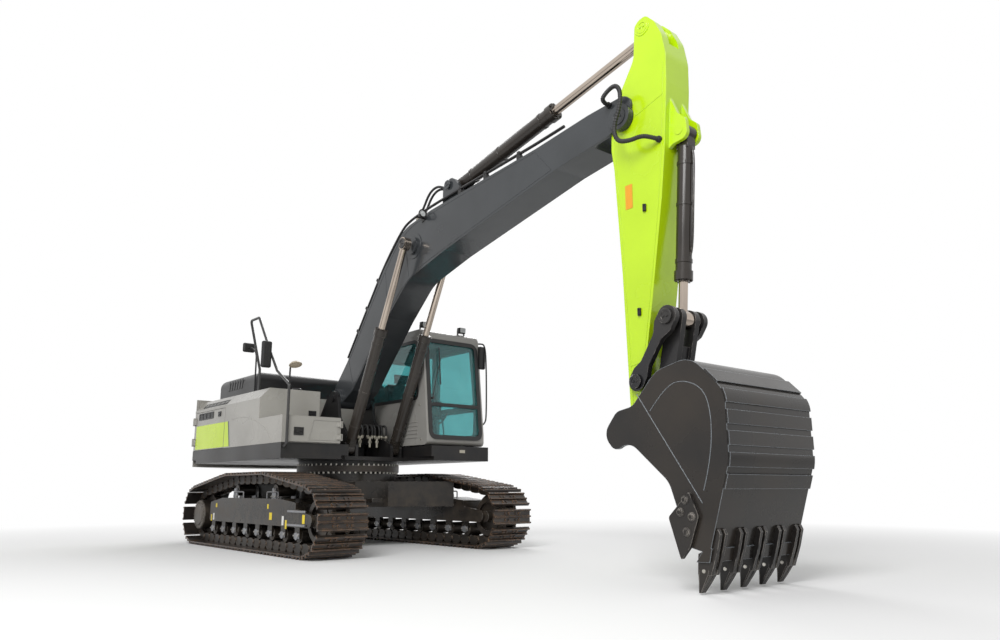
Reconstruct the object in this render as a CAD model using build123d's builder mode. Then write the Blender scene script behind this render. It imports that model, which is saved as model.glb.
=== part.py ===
"""Crawler excavator of the 21 to 22 tonne class, with a backhoe bucket.

Millimetres. +X forward, +Y to the left (the cab's side), +Z up. Everything is laid out about the
swing axis, and the whole machine is moved at the end so that the origin lies on the ground at the
middle of its box.
"""
from build123d import *
from math import acos, atan2, cos, degrees, hypot, pi, radians, sin
import os

os.makedirs("parts", exist_ok=True)

# Undercarriage sizes
tumbler_distance = 3462
track_gauge = 2380
shoe_width = 600
shoe_pitch = 190
grouser_height = 26
shoe_plate = 14
link_height = 62
link_depth = 45
tumbler_pitch_radius = 300
link_rail_offset = 85
link_rail_width = 48
carrier_spacing = 1200
carrier_radius = 70
carrier_sag = 8
top_run_height = 963
bottom_roller_count = 8
bottom_roller_span = 2600
bottom_roller_radius = 80
roller_width = 230
roller_gap = 0.5
frame_beam_width = 380
frame_beam_low = 330
frame_beam_high = 640
final_drive_radius = 200

# Swing bearing sizes
ring_outer_radius = 690
ring_inner_radius = 560
ring_bottom = 975
ring_top = 1055
ring_gap = 0.5

# Upper structure sizes
deck_low = 1120
deck_high = 1310
body_rear = -2250
tail_radius = 2890
body_side = 1367
cab_outer_side = 1400
cab_inner_side = 450
cab_front = 1240
cab_rear = -520
cab_floor = 1325
cab_roof = 2900
cab_wall = 45
cab_lean = 150
tank_front = 120
tank_rear = -1040
tank_inner = -530
tank_top = 2045
tank_shoulder = 1905
toolbox_front = 825
toolbox_top = 1640
bay_seam = 6
seat_gap = 0.3
hinge_pin_radius = 9

# Boom, arm and bucket pivots, in the side view of the machine
boom_foot = (20, 1980)
boom_angle = 22.4
boom_length = 5700
boom_half_width = 200
boom_cylinder_foot = (605, 1268)
boom_cylinder_pin = (2349, 944)
boom_cylinder_offset = 335
arm_cylinder_base = (3190, 1270)
arm_angle = -87.5
arm_length = 2925
arm_half_width = 165
arm_cylinder_eye = (-812, 290)
bucket_cylinder_top = (330, 560)
tipping_link_foot = (2495, 0)
tipping_link_head = (1992, 368)
bucket_ear_pin = (5620, 1580)
side_gap = 5
pin_gap = 0.05


def turned_point(origin, angle, point):
    """A point of a link's own side view, seen in the machine's side view."""
    turn = radians(angle)
    return (
        origin[0] + point[0] * cos(turn) - point[1] * sin(turn),
        origin[1] + point[0] * sin(turn) + point[1] * cos(turn),
    )


def on_boom(point):
    return turned_point(boom_foot, boom_angle, point)


arm_pivot = on_boom((boom_length, 0))


def on_arm(point):
    return turned_point(arm_pivot, arm_angle, point)


bucket_pivot = on_arm((arm_length, 0))
link_head = on_arm(tipping_link_head)


def side_view(y, origin=(0, 0), angle=0):
    """The plane of a side view at a distance to the left: x along the link, y square to it."""
    turn = radians(angle)
    return Plane(
        origin=(origin[0], y, origin[1]),
        x_dir=(cos(turn), 0, sin(turn)),
        z_dir=(0, -1, 0),
    )


def plate(rows, low, high, origin=(0, 0), angle=0):
    """A plate between two distances to the left. Rows: x, z, corner radius."""
    with BuildPart() as cut:
        with BuildSketch(side_view(high, origin, angle)):
            with BuildLine():
                FilletPolyline(
                    [(row[0], row[1]) for row in rows],
                    radius=[row[2] for row in rows],
                    close=True,
                )
            make_face()
        extrude(amount=high - low)
    return cut.part


def pin(centre, radius, low, high):
    """A round bar across the machine, between two distances to the left."""
    with BuildPart() as turned:
        with BuildSketch(side_view(high, centre)):
            Circle(radius)
        extrude(amount=high - low)
    return turned.part


def bar(start, end, radius, y=0, square_to_end=0):
    """A round bar in a side view, from one point to another."""
    run = (end[0] - start[0], 0, end[1] - start[1])
    length = hypot(run[0], run[2])
    with BuildPart() as turned:
        with BuildSketch(Plane(origin=(start[0], y, start[1]), z_dir=run)):
            Circle(radius)
        extrude(amount=length - square_to_end)
    return turned.part


def along(start, end, distance):
    """The point a distance from start on the way to end."""
    length = hypot(end[0] - start[0], end[1] - start[1])
    share = distance / length
    return (start[0] + (end[0] - start[0]) * share, start[1] + (end[1] - start[1]) * share)


def block(x_low, x_high, y_low, y_high, z_low, z_high):
    """A square block between its six faces."""
    with BuildPart() as cut:
        with BuildSketch(Plane.XY.offset(z_low)):
            with Locations(((x_low + x_high) / 2, (y_low + y_high) / 2)):
                Rectangle(x_high - x_low, y_high - y_low)
        extrude(amount=z_high - z_low)
    return cut.part


def tube(points, radius, bend):
    """A bent round bar through points, with one bend radius at each corner."""
    with BuildPart() as bent:
        with BuildLine() as route:
            FilletPolyline(points, radius=bend)
        with BuildSketch(Plane(origin=route.line @ 0, z_dir=route.line % 0)):
            Circle(radius)
        sweep(path=route.line)
    return bent.part


def strap(start, end, width, z_low, z_high):
    """A flat strap seen from above, from one point to another, between two heights."""
    run = (end[0] - start[0], end[1] - start[1], 0)
    length = hypot(run[0], run[1])
    with BuildPart() as cut:
        with BuildSketch(Plane(origin=(start[0], start[1], z_low), x_dir=run, z_dir=(0, 0, 1))):
            with Locations((length / 2, 0)):
                Rectangle(length, width)
        extrude(amount=z_high - z_low)
    return cut.part


def post(centre, radius, z_low, z_high):
    """A round bar that stands upright."""
    with BuildPart() as turned:
        with BuildSketch(Plane.XY.offset(z_low)):
            with Locations(centre):
                Circle(radius)
        extrude(amount=z_high - z_low)
    return turned.part


hinge_tab = 12
hinge_play = 1
knuckle_reach = 16


def hinge_pin(axis, anchor, z_low, z_high):
    """The fixed half of an upright hinge: a pin with a tab over and under the knuckle."""
    with BuildPart() as fixed:
        add(post(axis, hinge_pin_radius, z_low - hinge_tab, z_high + hinge_tab))
        for tab in (z_low - hinge_tab, z_high):
            add(strap(axis, anchor, 2 * hinge_pin_radius, tab, tab + hinge_tab))
    return fixed.part


def hinge_knuckle(axis, anchor, z_low, z_high):
    """The moving half of an upright hinge: a sleeve round the pin with its leaf."""
    with BuildPart() as moving:
        add(post(axis, hinge_pin_radius + 7, z_low + hinge_play, z_high - hinge_play))
        add(strap(axis, anchor, 12, z_low + hinge_play, z_high - hinge_play))
        add(post(axis, hinge_pin_radius + pin_gap, z_low, z_high), mode=Mode.SUBTRACT)
    return moving.part


machine = {}


def keep(piece, label):
    """Labels a finished piece and puts it on the machine's list."""
    piece.part.label = label
    machine[label] = piece.part


# Track loop: the path of the link pins round sprocket, idler and carrier rollers
shoe_height = link_height + shoe_plate + grouser_height
wheel_height = tumbler_pitch_radius + shoe_height
top_pin_line = top_run_height - shoe_height
idler_x = tumbler_distance / 2
sprocket_x = -tumbler_distance / 2


def track_path():
    """The pin line as pieces: lines as (start, end), arcs as (centre, first angle, last angle)."""
    rise = top_pin_line - wheel_height
    reach = idler_x - carrier_spacing / 2
    lean = degrees(atan2(rise, -reach)) - degrees(acos(tumbler_pitch_radius / hypot(reach, rise)))

    def rim(x, angle):
        return (
            x + tumbler_pitch_radius * cos(radians(angle)),
            wheel_height + tumbler_pitch_radius * sin(radians(angle)),
        )

    front_carrier = (carrier_spacing / 2, top_pin_line)
    rear_carrier = (-carrier_spacing / 2, top_pin_line)
    return [
        ("line", rim(sprocket_x, -90), rim(idler_x, -90)),
        ("arc", (idler_x, wheel_height), -90, lean),
        ("line", rim(idler_x, lean), front_carrier),
        ("line", front_carrier, rear_carrier),
        ("line", rear_carrier, rim(sprocket_x, 180 - lean)),
        ("arc", (sprocket_x, wheel_height), 180 - lean, 270),
    ]


def path_length(piece):
    if piece[0] == "line":
        return hypot(piece[2][0] - piece[1][0], piece[2][1] - piece[1][1])
    return tumbler_pitch_radius * radians(piece[3] - piece[2])


def path_point(distance):
    """The point of the pin line at a distance from its start."""
    for piece in track_path():
        length = path_length(piece)
        if distance <= length:
            break
        distance -= length
    if piece[0] == "line":
        return along(piece[1], piece[2], distance)
    angle = radians(piece[2] + degrees(distance / tumbler_pitch_radius))
    return (
        piece[1][0] + tumbler_pitch_radius * cos(angle),
        piece[1][1] + tumbler_pitch_radius * sin(angle),
    )


loop_length = sum(path_length(piece) for piece in track_path())
shoe_count = round(loop_length / shoe_pitch)
true_pitch = loop_length / shoe_count
pins = [path_point(true_pitch * index) for index in range(shoe_count)]


def offset_loop(height):
    """The closed loop that lies a height outside the chain's pins, with mitred corners."""
    points = []
    for index, here in enumerate(pins):
        before = pins[index - 1]
        after = pins[(index + 1) % shoe_count]
        first = atan2(here[1] - before[1], here[0] - before[0])
        second = atan2(after[1] - here[1], after[0] - here[0])
        turn = (second - first + pi) % (2 * pi) - pi
        out = first + turn / 2 - pi / 2
        reach = height / cos(turn / 2)
        points.append((here[0] + reach * cos(out), here[1] + reach * sin(out)))
    return points


# Shoe profile: how far along the shoe as a share of its pitch, and is it a grouser's tip
shoe_profile = [
    (-0.485, False), (-0.41, True), (-0.31, False), (-0.09, False), (0.0, True),
    (0.09, False), (0.31, False), (0.41, True), (0.485, False),
]


def shoe_loop():
    """The outline over the shoes with three grousers on each."""
    points = []
    for index, here in enumerate(pins):
        after = pins[(index + 1) % shoe_count]
        pitch = hypot(after[0] - here[0], after[1] - here[1])
        ahead = ((after[0] - here[0]) / pitch, (after[1] - here[1]) / pitch)
        out = (ahead[1], -ahead[0])
        middle = ((here[0] + after[0]) / 2, (here[1] + after[1]) / 2)
        for share, is_tip in shoe_profile:
            height = link_height + shoe_plate + (grouser_height if is_tip else 0)
            points.append((
                middle[0] + ahead[0] * share * pitch + out[0] * height,
                middle[1] + ahead[1] * share * pitch + out[1] * height,
            ))
    return points


def loop_band(outer, inner, low, high):
    """A closed band between two loops of points, between two distances to the left."""
    with BuildPart() as band:
        with BuildSketch(side_view(high)):
            with BuildLine():
                Polyline(outer, close=True)
            make_face()
            with BuildLine():
                Polyline(inner, close=True)
            make_face(mode=Mode.SUBTRACT)
        extrude(amount=high - low)
    return band.part


# Carbody: the X-shaped centre with its pedestal and four legs
leg_reach = 860
tow_lug = 75
tow_lug_thickness = 50
tow_hole_radius = 32
leg_width = 240
pedestal_radius = 640
carbody_low = 520
carbody_high = 850
frame_inner = track_gauge / 2 - frame_beam_width / 2
with BuildPart() as carbody:
    with BuildSketch(Plane.XY.offset(carbody_low)):
        with Locations((0, 0)):
            Rectangle(1300, 1300)
        for side in (-1, 1):
            for end in (-1, 1):
                with BuildLine():
                    Polyline(
                        (end * 250, side * 560),
                        (end * 650, side * 250),
                        (end * (leg_reach + leg_width), side * (frame_inner - side_gap / 10)),
                        (end * (leg_reach - leg_width), side * (frame_inner - side_gap / 10)),
                        close=True,
                    )
                make_face()
    extrude(amount=carbody_high - carbody_low)
    with BuildSketch(Plane.XY.offset(carbody_high)):
        Circle(pedestal_radius)
    extrude(amount=ring_bottom - carbody_high)
    add(block(640, 640 + 2 * tow_lug, -tow_lug, tow_lug, carbody_low + 60, carbody_low + 60 + tow_lug_thickness))
    add(post((640 + tow_lug + 15, 0), tow_hole_radius, carbody_low, carbody_low + 200), mode=Mode.SUBTRACT)
keep(carbody, "carbody")

# Swing bearing: the outer race on its pedestal, with its bolt flange
with BuildPart() as slew_ring:
    with BuildSketch(Plane.XY.offset(ring_bottom + 0.3)):
        Circle(ring_outer_radius)
        Circle(ring_inner_radius, mode=Mode.SUBTRACT)
    extrude(amount=ring_top - ring_bottom - 0.3)
keep(slew_ring, "slew_ring")

carrier_height = top_pin_line - link_depth - carrier_radius - carrier_sag
frame_front = 1330
frame_rear = -1330
fork_front = 1760
for side, side_name in ((-1, "right"), (1, "left")):
    middle = side * track_gauge / 2
    low = middle - frame_beam_width / 2
    high = middle + frame_beam_width / 2

    # Track frame: box beam, idler forks in front and the drive's bracket behind
    beam_rows = [
        (frame_rear, frame_beam_low, 30), (frame_front, frame_beam_low, 30),
        (frame_front, frame_beam_high - 40, 30), (900, frame_beam_high, 60),
        (-900, frame_beam_high, 60), (frame_rear, frame_beam_high - 60, 30),
    ]
    fork_rows = [
        (frame_front - 60, frame_beam_low, 0), (fork_front - 60, frame_beam_low, 60),
        (fork_front, wheel_height + 60, 60), (frame_front - 60, wheel_height + 130, 0),
    ]
    drive_rows = [
        (frame_rear + 60, frame_beam_low, 0), (frame_rear + 60, frame_beam_high - 60, 0),
        (sprocket_x + 20, wheel_height + 200, 120), (sprocket_x - 160, wheel_height, 120),
        (sprocket_x + 20, wheel_height - 150, 120),
    ]
    with BuildPart() as track_frame:
        add(plate(beam_rows, low, high))
        for fork_low, fork_high in ((low, low + 40), (high - 40, high)):
            add(plate(fork_rows, fork_low, fork_high))
        inner_face = high - 40 if side < 0 else low
        add(plate(drive_rows, inner_face, inner_face + 40))
        for carrier_x in (-carrier_spacing / 2, carrier_spacing / 2):
            add(block(carrier_x - 60, carrier_x + 60, middle - 60, middle + 60,
                      frame_beam_high - 20, carrier_height - carrier_radius - seat_gap))
        for roller in range(bottom_roller_count):
            roller_x = (roller / (bottom_roller_count - 1) - 0.5) * bottom_roller_span
            for bracket_y in (middle - roller_width / 2 - 30, middle + roller_width / 2 + 5):
                add(block(roller_x - 60, roller_x + 60, bracket_y, bracket_y + 25,
                          200, frame_beam_low + 5))
    keep(track_frame, f"track_frame_{side_name}")

    # Track: links and shoes in one closed loop
    with BuildPart() as track:
        add(loop_band(shoe_loop(), offset_loop(link_height),
                      middle - shoe_width / 2, middle + shoe_width / 2))
        for rail in (-link_rail_offset, link_rail_offset):
            add(loop_band(offset_loop(link_height), offset_loop(-link_depth),
                          middle + rail - link_rail_width / 2, middle + rail + link_rail_width / 2))
    keep(track, f"track_{side_name}")

    # Idler: rim under the links and a flange between them
    rim_radius = tumbler_pitch_radius * cos(true_pitch / 2 / tumbler_pitch_radius) - link_depth - roller_gap
    flange_radius = tumbler_pitch_radius - 10
    flange_width = 2 * (link_rail_offset - link_rail_width / 2) - 20
    with BuildPart() as idler:
        add(pin((idler_x, wheel_height), rim_radius, middle - roller_width / 2, middle + roller_width / 2))
        add(pin((idler_x, wheel_height), flange_radius, middle - flange_width / 2, middle + flange_width / 2))
        for face in (middle - roller_width / 2, middle + roller_width / 2 - 45):
            add(pin((idler_x, wheel_height), rim_radius - 60, face, face + 45), mode=Mode.SUBTRACT)
        add(pin((idler_x, wheel_height), 70, low + 40.3, high - 40.3))
    keep(idler, f"idler_{side_name}")

    # Final drive: sprocket between the links, motor case inside and hub cover outside
    outer_face = middle + side * 185
    inner_case = (high - 40.3) if side < 0 else (low + 40.3)
    with BuildPart() as final_drive:
        with BuildSketch(side_view(middle + flange_width / 2)):
            with Locations((sprocket_x, wheel_height)):
                Circle(tumbler_pitch_radius - 25)
                with PolarLocations(tumbler_pitch_radius - 30, 21):
                    Trapezoid(50, 46, 68, rotation=-90)
        extrude(amount=flange_width)
        add(pin((sprocket_x, wheel_height), final_drive_radius,
                min(outer_face, middle), max(outer_face, middle)))
        add(pin((sprocket_x, wheel_height), final_drive_radius - 20,
                min(inner_case, middle), max(inner_case, middle)))
    keep(final_drive, f"final_drive_{side_name}")

    # Bottom rollers on their shafts
    with BuildPart() as bottom_rollers:
        for roller in range(bottom_roller_count):
            roller_x = (roller / (bottom_roller_count - 1) - 0.5) * bottom_roller_span
            centre = (roller_x, shoe_height + link_depth + bottom_roller_radius + roller_gap)
            add(pin(centre, bottom_roller_radius, middle - roller_width / 2, middle + roller_width / 2))
            add(pin(centre, bottom_roller_radius - 20, middle - roller_width / 2 - 4.7,
                    middle + roller_width / 2 + 4.7))
    keep(bottom_rollers, f"bottom_rollers_{side_name}")

    # Carrier rollers under the top run
    with BuildPart() as carrier_rollers:
        for carrier_x in (-carrier_spacing / 2, carrier_spacing / 2):
            centre = (carrier_x, carrier_height)
            add(pin(centre, carrier_radius, middle - roller_width / 2, middle + roller_width / 2))
    keep(carrier_rollers, f"carrier_rollers_{side_name}")

# Main frame: deck, boom brackets and cylinder ears
bracket_inner = 245
bracket_plate = 40
ear_outer = boom_cylinder_offset + 85
with BuildPart() as main_frame:
    with BuildSketch(Plane.XY.offset(deck_low)):
        with BuildLine():
            Polyline(
                (body_rear + 150, -body_side), (toolbox_front, -body_side), (toolbox_front, -560),
                (700, -440), (700, 440), (cab_front + 100, 500), (cab_front + 100, cab_outer_side),
                (body_rear + 150, cab_outer_side), (body_rear, 0), close=True,
            )
        make_face()
    extrude(amount=50)
    for deck_rows in (
        (body_rear, toolbox_front, -body_side, -460),
        (body_rear, cab_front + 100, 460, cab_outer_side),
        (body_rear, -700, -460, 460),
    ):
        add(block(*deck_rows, deck_low + 50, deck_high))
    with BuildSketch(Plane.XY.offset(ring_top + ring_gap)):
        Circle(ring_outer_radius - 25)
    extrude(amount=deck_low - ring_top - ring_gap)
    bracket_rows = [
        (-640, deck_low, 0), (690, deck_low, 0), (690, 1330, 60), (480, 1420, 100),
        (210, 1700, 100), (140, 2010, 110), (20, 2110, 110), (-160, 2000, 110), (-560, 1480, 100),
        (-640, 1440, 0),
    ]
    ear_rows = [(430, deck_low, 0), (690, deck_low, 0), (690, 1330, 60), (560, 1350, 60), (430, 1250, 0)]
    for bracket in (bracket_inner, -bracket_inner - bracket_plate):
        add(plate(bracket_rows, bracket, bracket + bracket_plate))
    for ear in (ear_outer - 30, -ear_outer):
        add(plate(ear_rows, ear, ear + 30))
    add(pin(boom_foot, 45, -bracket_inner - bracket_plate - 20, bracket_inner + bracket_plate + 20))
    for ear_side in (-1, 1):
        start, end = sorted((ear_side * (bracket_inner + 5), ear_side * (ear_outer + 10)))
        add(pin(boom_cylinder_foot, 40, start, end))
    for pad_x in (cab_rear + 120, cab_front - 160):
        for pad_y in (cab_inner_side + 120, cab_outer_side - 120):
            add(post((pad_x, pad_y), 60, deck_high - 5, cab_floor - seat_gap))
keep(main_frame, "main_frame")

# Counterweight: a thick round tail
counterweight_front = body_rear - 5
with BuildPart() as counterweight:
    with BuildSketch(Plane.XY.offset(1080)) as tail:
        with BuildLine():
            Polyline((counterweight_front, -body_side + 10), (counterweight_front, body_side - 10))
            ThreePointArc(
                (counterweight_front, body_side - 10), (-tail_radius, 0),
                (counterweight_front, -body_side + 10),
            )
        make_face()
    extrude(amount=1000)
    add(block(counterweight_front - 1, body_rear - seat_gap, -400, 400, deck_low + 60, deck_high - 20))
keep(counterweight, "counterweight")

# Fuel and hydraulic tanks behind the toolbox, with a chamfered outer shoulder
with BuildPart() as tanks:
    with BuildSketch(Plane.YZ.offset(tank_rear)):
        with BuildLine():
            Polyline(
                (-body_side, deck_high + 0.3), (-body_side, tank_shoulder),
                (-body_side + 130, tank_top), (tank_inner, tank_top),
                (tank_inner, deck_high + 0.3), close=True,
            )
        make_face()
    extrude(amount=tank_front - tank_rear)
keep(tanks, "tanks")

# Toolbox in front of the tanks, open at its front, with its door hinged at the inner edge
toolbox_inner = -590
toolbox_door_thickness = 30
toolbox_axis = (toolbox_front + 5 + toolbox_door_thickness + knuckle_reach, toolbox_inner - 24)
toolbox_hinges = (deck_high + 50, toolbox_top - 120)
toolbox_knuckle = 60
with BuildPart() as toolbox:
    add(block(tank_front + 1, toolbox_front, -body_side, toolbox_inner, deck_high + seat_gap, toolbox_top))
    add(block(tank_front + 60, toolbox_front + 1, -body_side + 60, toolbox_inner - 60, deck_high + 60,
              toolbox_top - 60), mode=Mode.SUBTRACT)
    for low in toolbox_hinges:
        anchor = (toolbox_axis[0], toolbox_inner + 6)
        add(hinge_pin(toolbox_axis, anchor, low, low + toolbox_knuckle))
        add(block(toolbox_front - 40, toolbox_axis[0] + 9, toolbox_inner - 3, toolbox_inner + 6,
                  low - hinge_tab, low + toolbox_knuckle + hinge_tab))
keep(toolbox, "toolbox")

with BuildPart() as toolbox_door:
    add(block(toolbox_front + 5, toolbox_front + 5 + toolbox_door_thickness, -body_side + 70,
              toolbox_inner - 10, deck_high + 10, toolbox_top - 10))
    for low in toolbox_hinges:
        anchor = (toolbox_front + 5 + toolbox_door_thickness - 2, toolbox_axis[1] - 50)
        add(hinge_knuckle(toolbox_axis, anchor, low, low + toolbox_knuckle))
keep(toolbox_door, "toolbox_door")

# Side doors of the pump bay (right) and the radiator bay (left), hinged at their rear edges
door_thickness = 40
door_rear = body_rear + 14
door_top = tank_shoulder - 40
knuckle_height = 90
bay_doors = [
    # side, label, front edge
    (-1, "pump_door", tank_rear - bay_seam),
    (1, "radiator_door", -1246),
]
bay_hinges = []
for side, label, door_front in bay_doors:
    face = side * body_side
    axis = (door_rear + 20, face + side * knuckle_reach)
    with BuildPart() as bay_door:
        add(block(door_rear, door_front, min(face, face - side * door_thickness),
                  max(face, face - side * door_thickness), deck_high + 5, door_top))
        for low in (deck_high + 80, door_top - 80 - knuckle_height):
            add(hinge_knuckle(axis, (axis[0] + 60, face + side * 4), low, low + knuckle_height))
            bay_hinges.append((side, axis, low))
    keep(bay_door, label)

# Hood hinge line, shared by the hood and the housing
hood_rear = body_rear + 80
hood_axis = (hood_rear - 22, tank_top + 22)
hood_hinges = (-700, 700)

# Engine housing: walls and shoulders round the engine bay, with the hood's opening on top
wall = 40
firewall = -700
left_panel_rear = -1240
with BuildPart() as engine_housing:
    add(block(body_rear + 5, body_rear + 5 + wall, -body_side + 52, body_side - 52, deck_high + seat_gap,
              tank_top - 1))
    add(block(firewall, firewall + wall, tank_inner + 10, body_side - wall, deck_high + seat_gap, tank_top - 1))
    add(block(left_panel_rear, firewall + wall, body_side - wall, body_side, deck_high + seat_gap,
              tank_shoulder))
    for side, shoulder_front in ((-1, tank_rear - bay_seam), (1, firewall + wall)):
        face = side * body_side
        with BuildSketch(Plane.YZ.offset(body_rear + 5)):
            with BuildLine():
                Polyline(
                    (face, door_top + 5), (face, tank_shoulder), (face - side * 130, tank_top),
                    (face - side * 300, tank_top), (face - side * 300, tank_top - wall),
                    (face - side * 150, tank_top - wall), (face - side * wall, tank_shoulder - 15),
                    (face - side * wall, door_top + 5), close=True,
                )
            make_face()
        extrude(amount=shoulder_front - body_rear - 5)
    add(block(body_rear + 5, body_rear + 100, -body_side + 250, body_side - 250, tank_top - wall, tank_top))
    add(block(firewall - 100, firewall + wall, tank_inner + 10, body_side - 250, tank_top - wall, tank_top))
    for side, axis, low in bay_hinges:
        add(hinge_pin(axis, (body_rear + 1, axis[1]), low, low + knuckle_height))
        start, end = sorted((axis[1] + side * 9, side * (body_side - 60)))
        add(block(body_rear - 3, body_rear + 6, start, end, low - hinge_tab, low + knuckle_height + hinge_tab))
    for hinge_y in hood_hinges:
        add(pin(hood_axis, hinge_pin_radius, hinge_y - 60, hinge_y + 60))
        for ear in (hinge_y - 60, hinge_y + 46):
            add(block(hood_axis[0] - 9, hood_axis[0] + 9, ear, ear + 14, tank_top - 5, hood_axis[1] + 9))
keep(engine_housing, "engine_housing")

with BuildPart() as engine_block:
    add(block(-1950, -1250, -700, 600, deck_high + seat_gap, 1990))
keep(engine_block, "engine_block")

# Engine hood: a rounded lid hinged at its rear edge
hood_front = -760
hood_side = 1060
hood_low = tank_top + 5
hood_top = 2380
with BuildPart() as engine_hood:
    add(block(hood_rear, hood_front, -hood_side, hood_side, hood_low, hood_top))
    fillet(engine_hood.faces().sort_by(Axis.Z)[-1].edges(), 120)
    fillet(engine_hood.edges().filter_by(Axis.Z), 60)
    add(block(hood_rear + 50, hood_front - 50, -hood_side + 50, hood_side - 50, hood_low - 1, hood_top - 60),
        mode=Mode.SUBTRACT)
    for hinge_y in hood_hinges:
        add(pin(hood_axis, 16, hinge_y - 44, hinge_y + 44))
        add(block(hood_axis[0], hood_rear + 5, hinge_y - 44, hinge_y + 44, hood_axis[1] - 6, hood_axis[1] + 8))
        add(pin(hood_axis, hinge_pin_radius + pin_gap, hinge_y - 45, hinge_y + 45), mode=Mode.SUBTRACT)
keep(engine_hood, "engine_hood")

# Cab shell: side profile with a leaning windscreen, hollow, with its windows cut
cab_rows = [
    (cab_rear, cab_floor, 40), (cab_front, cab_floor, 60), (cab_front, 1480, 200),
    (cab_front - cab_lean, cab_roof, 120), (cab_rear + 60, cab_roof, 120), (cab_rear, cab_roof - 200, 60),
]
inner_rows = [
    (cab_rear + cab_wall, cab_floor + cab_wall, 30), (cab_front - cab_wall, cab_floor + cab_wall, 40),
    (cab_front - cab_wall, 1480, 180), (cab_front - cab_lean - cab_wall, cab_roof - cab_wall, 90),
    (cab_rear + 60 + cab_wall, cab_roof - cab_wall, 90), (cab_rear + cab_wall, cab_roof - 200, 40),
]
door_low_x = 90
door_high_x = cab_front - 110
door_rows = [
    (door_low_x, cab_floor + 70, 40), (door_high_x, cab_floor + 70, 60), (door_high_x, 1500, 180),
    (door_high_x - cab_lean + 20, cab_roof - 110, 110), (door_low_x, cab_roof - 110, 60),
]
cab_door_axis = (door_low_x + 4, cab_outer_side + 2 + knuckle_reach)
cab_hinges = (1560, 2560)
knuckle_height_cab = 90
with BuildPart() as cab_shell:
    add(plate(cab_rows, cab_inner_side, cab_outer_side))
    add(plate(inner_rows, cab_inner_side + cab_wall, cab_outer_side - cab_wall), mode=Mode.SUBTRACT)
    add(plate(door_rows, cab_outer_side - cab_wall - 1, cab_outer_side + 1), mode=Mode.SUBTRACT)
    rear_side_window = [(-400, 1900, 60), (20, 1900, 60), (20, 2740, 60), (-360, 2740, 100)]
    add(plate(rear_side_window, cab_outer_side - cab_wall - 1, cab_outer_side + 1), mode=Mode.SUBTRACT)
    right_window = [(-380, 1950, 60), (1010, 1950, 100), (1010, 2740, 120), (-340, 2740, 100)]
    add(plate(right_window, cab_inner_side - 1, cab_inner_side + cab_wall + 1), mode=Mode.SUBTRACT)
    add(block(cab_front - cab_lean - 150, cab_front + 1, cab_inner_side + 70, cab_outer_side - 70,
              1430, 2740), mode=Mode.SUBTRACT)
    add(block(cab_rear - 1, cab_rear + 120, cab_inner_side + 90, cab_outer_side - 90, 1950, 2650),
        mode=Mode.SUBTRACT)
    for low in cab_hinges:
        add(hinge_pin(cab_door_axis, (cab_door_axis[0] - 60, cab_door_axis[1]), low, low + knuckle_height_cab))
        add(block(cab_door_axis[0] - 64, cab_door_axis[0] - 40, cab_outer_side - 5, cab_door_axis[1] + 9,
                  low - hinge_tab, low + knuckle_height_cab + hinge_tab))
keep(cab_shell, "cab_shell")

door_gap = 6
with BuildPart() as cab_door:
    with BuildSketch(side_view(cab_outer_side + 2)) as door_outline:
        with BuildLine():
            FilletPolyline([(row[0], row[1]) for row in door_rows],
                           radius=[row[2] for row in door_rows], close=True)
        make_face()
        offset(amount=-door_gap)
        door_window = [(door_low_x + 70, 1900), (door_high_x - 80, 1900),
                       (door_high_x - 190, cab_roof - 190), (door_low_x + 70, cab_roof - 190)]
        with BuildLine():
            FilletPolyline(door_window, radius=60, close=True)
        make_face(mode=Mode.SUBTRACT)
        lower_window = [(door_low_x + 70, 1480), (door_high_x - 80, 1480),
                        (door_high_x - 70, 1830), (door_low_x + 70, 1830)]
        with BuildLine():
            FilletPolyline(lower_window, radius=60, close=True)
        make_face(mode=Mode.SUBTRACT)
    extrude(amount=cab_wall)
    for low in cab_hinges:
        anchor = (cab_door_axis[0] + 60, cab_outer_side)
        add(hinge_knuckle(cab_door_axis, anchor, low, low + knuckle_height_cab))
keep(cab_door, "cab_door")

with BuildPart() as cab_door_glass:
    pane_low = cab_outer_side - 20
    with BuildSketch(side_view(pane_low + 6)):
        for window in (door_window, lower_window):
            with BuildLine():
                FilletPolyline(window, radius=60, close=True)
            make_face()
        offset(amount=-seat_gap)
    extrude(amount=6)
keep(cab_door_glass, "cab_door_glass")

with BuildPart() as cab_seat:
    add(block(-150, 420, 690, 1170, cab_floor + cab_wall + 0.3, 1640))
    add(block(-260, -100, 690, 1170, 1640, 2260))
    add(block(-150, 480, 560, 660, cab_floor + cab_wall + 0.3, 1830))
    add(block(-150, 480, 1200, 1300, cab_floor + cab_wall + 0.3, 1830))
keep(cab_seat, "cab_seat")

with BuildPart() as valve_block:
    add(block(-500, 100, -180, 180, deck_low + 50.3, 1420))
keep(valve_block, "valve_block")

# Handrails and the mirror posts
rail_radius = 17
rail_y = -1335
rail_points = [
    (toolbox_front + seat_gap, rail_y, deck_high - 50), (toolbox_front + 75, rail_y, deck_high - 50),
    (toolbox_front + 75, rail_y, 2000), (530, rail_y, 2210), (210, rail_y, 2580),
    (-130, rail_y, 3000), (-400, rail_y, 3000), (-400, -body_side + 190, 2350), (-400, -body_side + 190, tank_top + seat_gap),
]
with BuildPart() as handrails:
    add(tube(rail_points, rail_radius, 40))
keep(handrails, "handrails")

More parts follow.
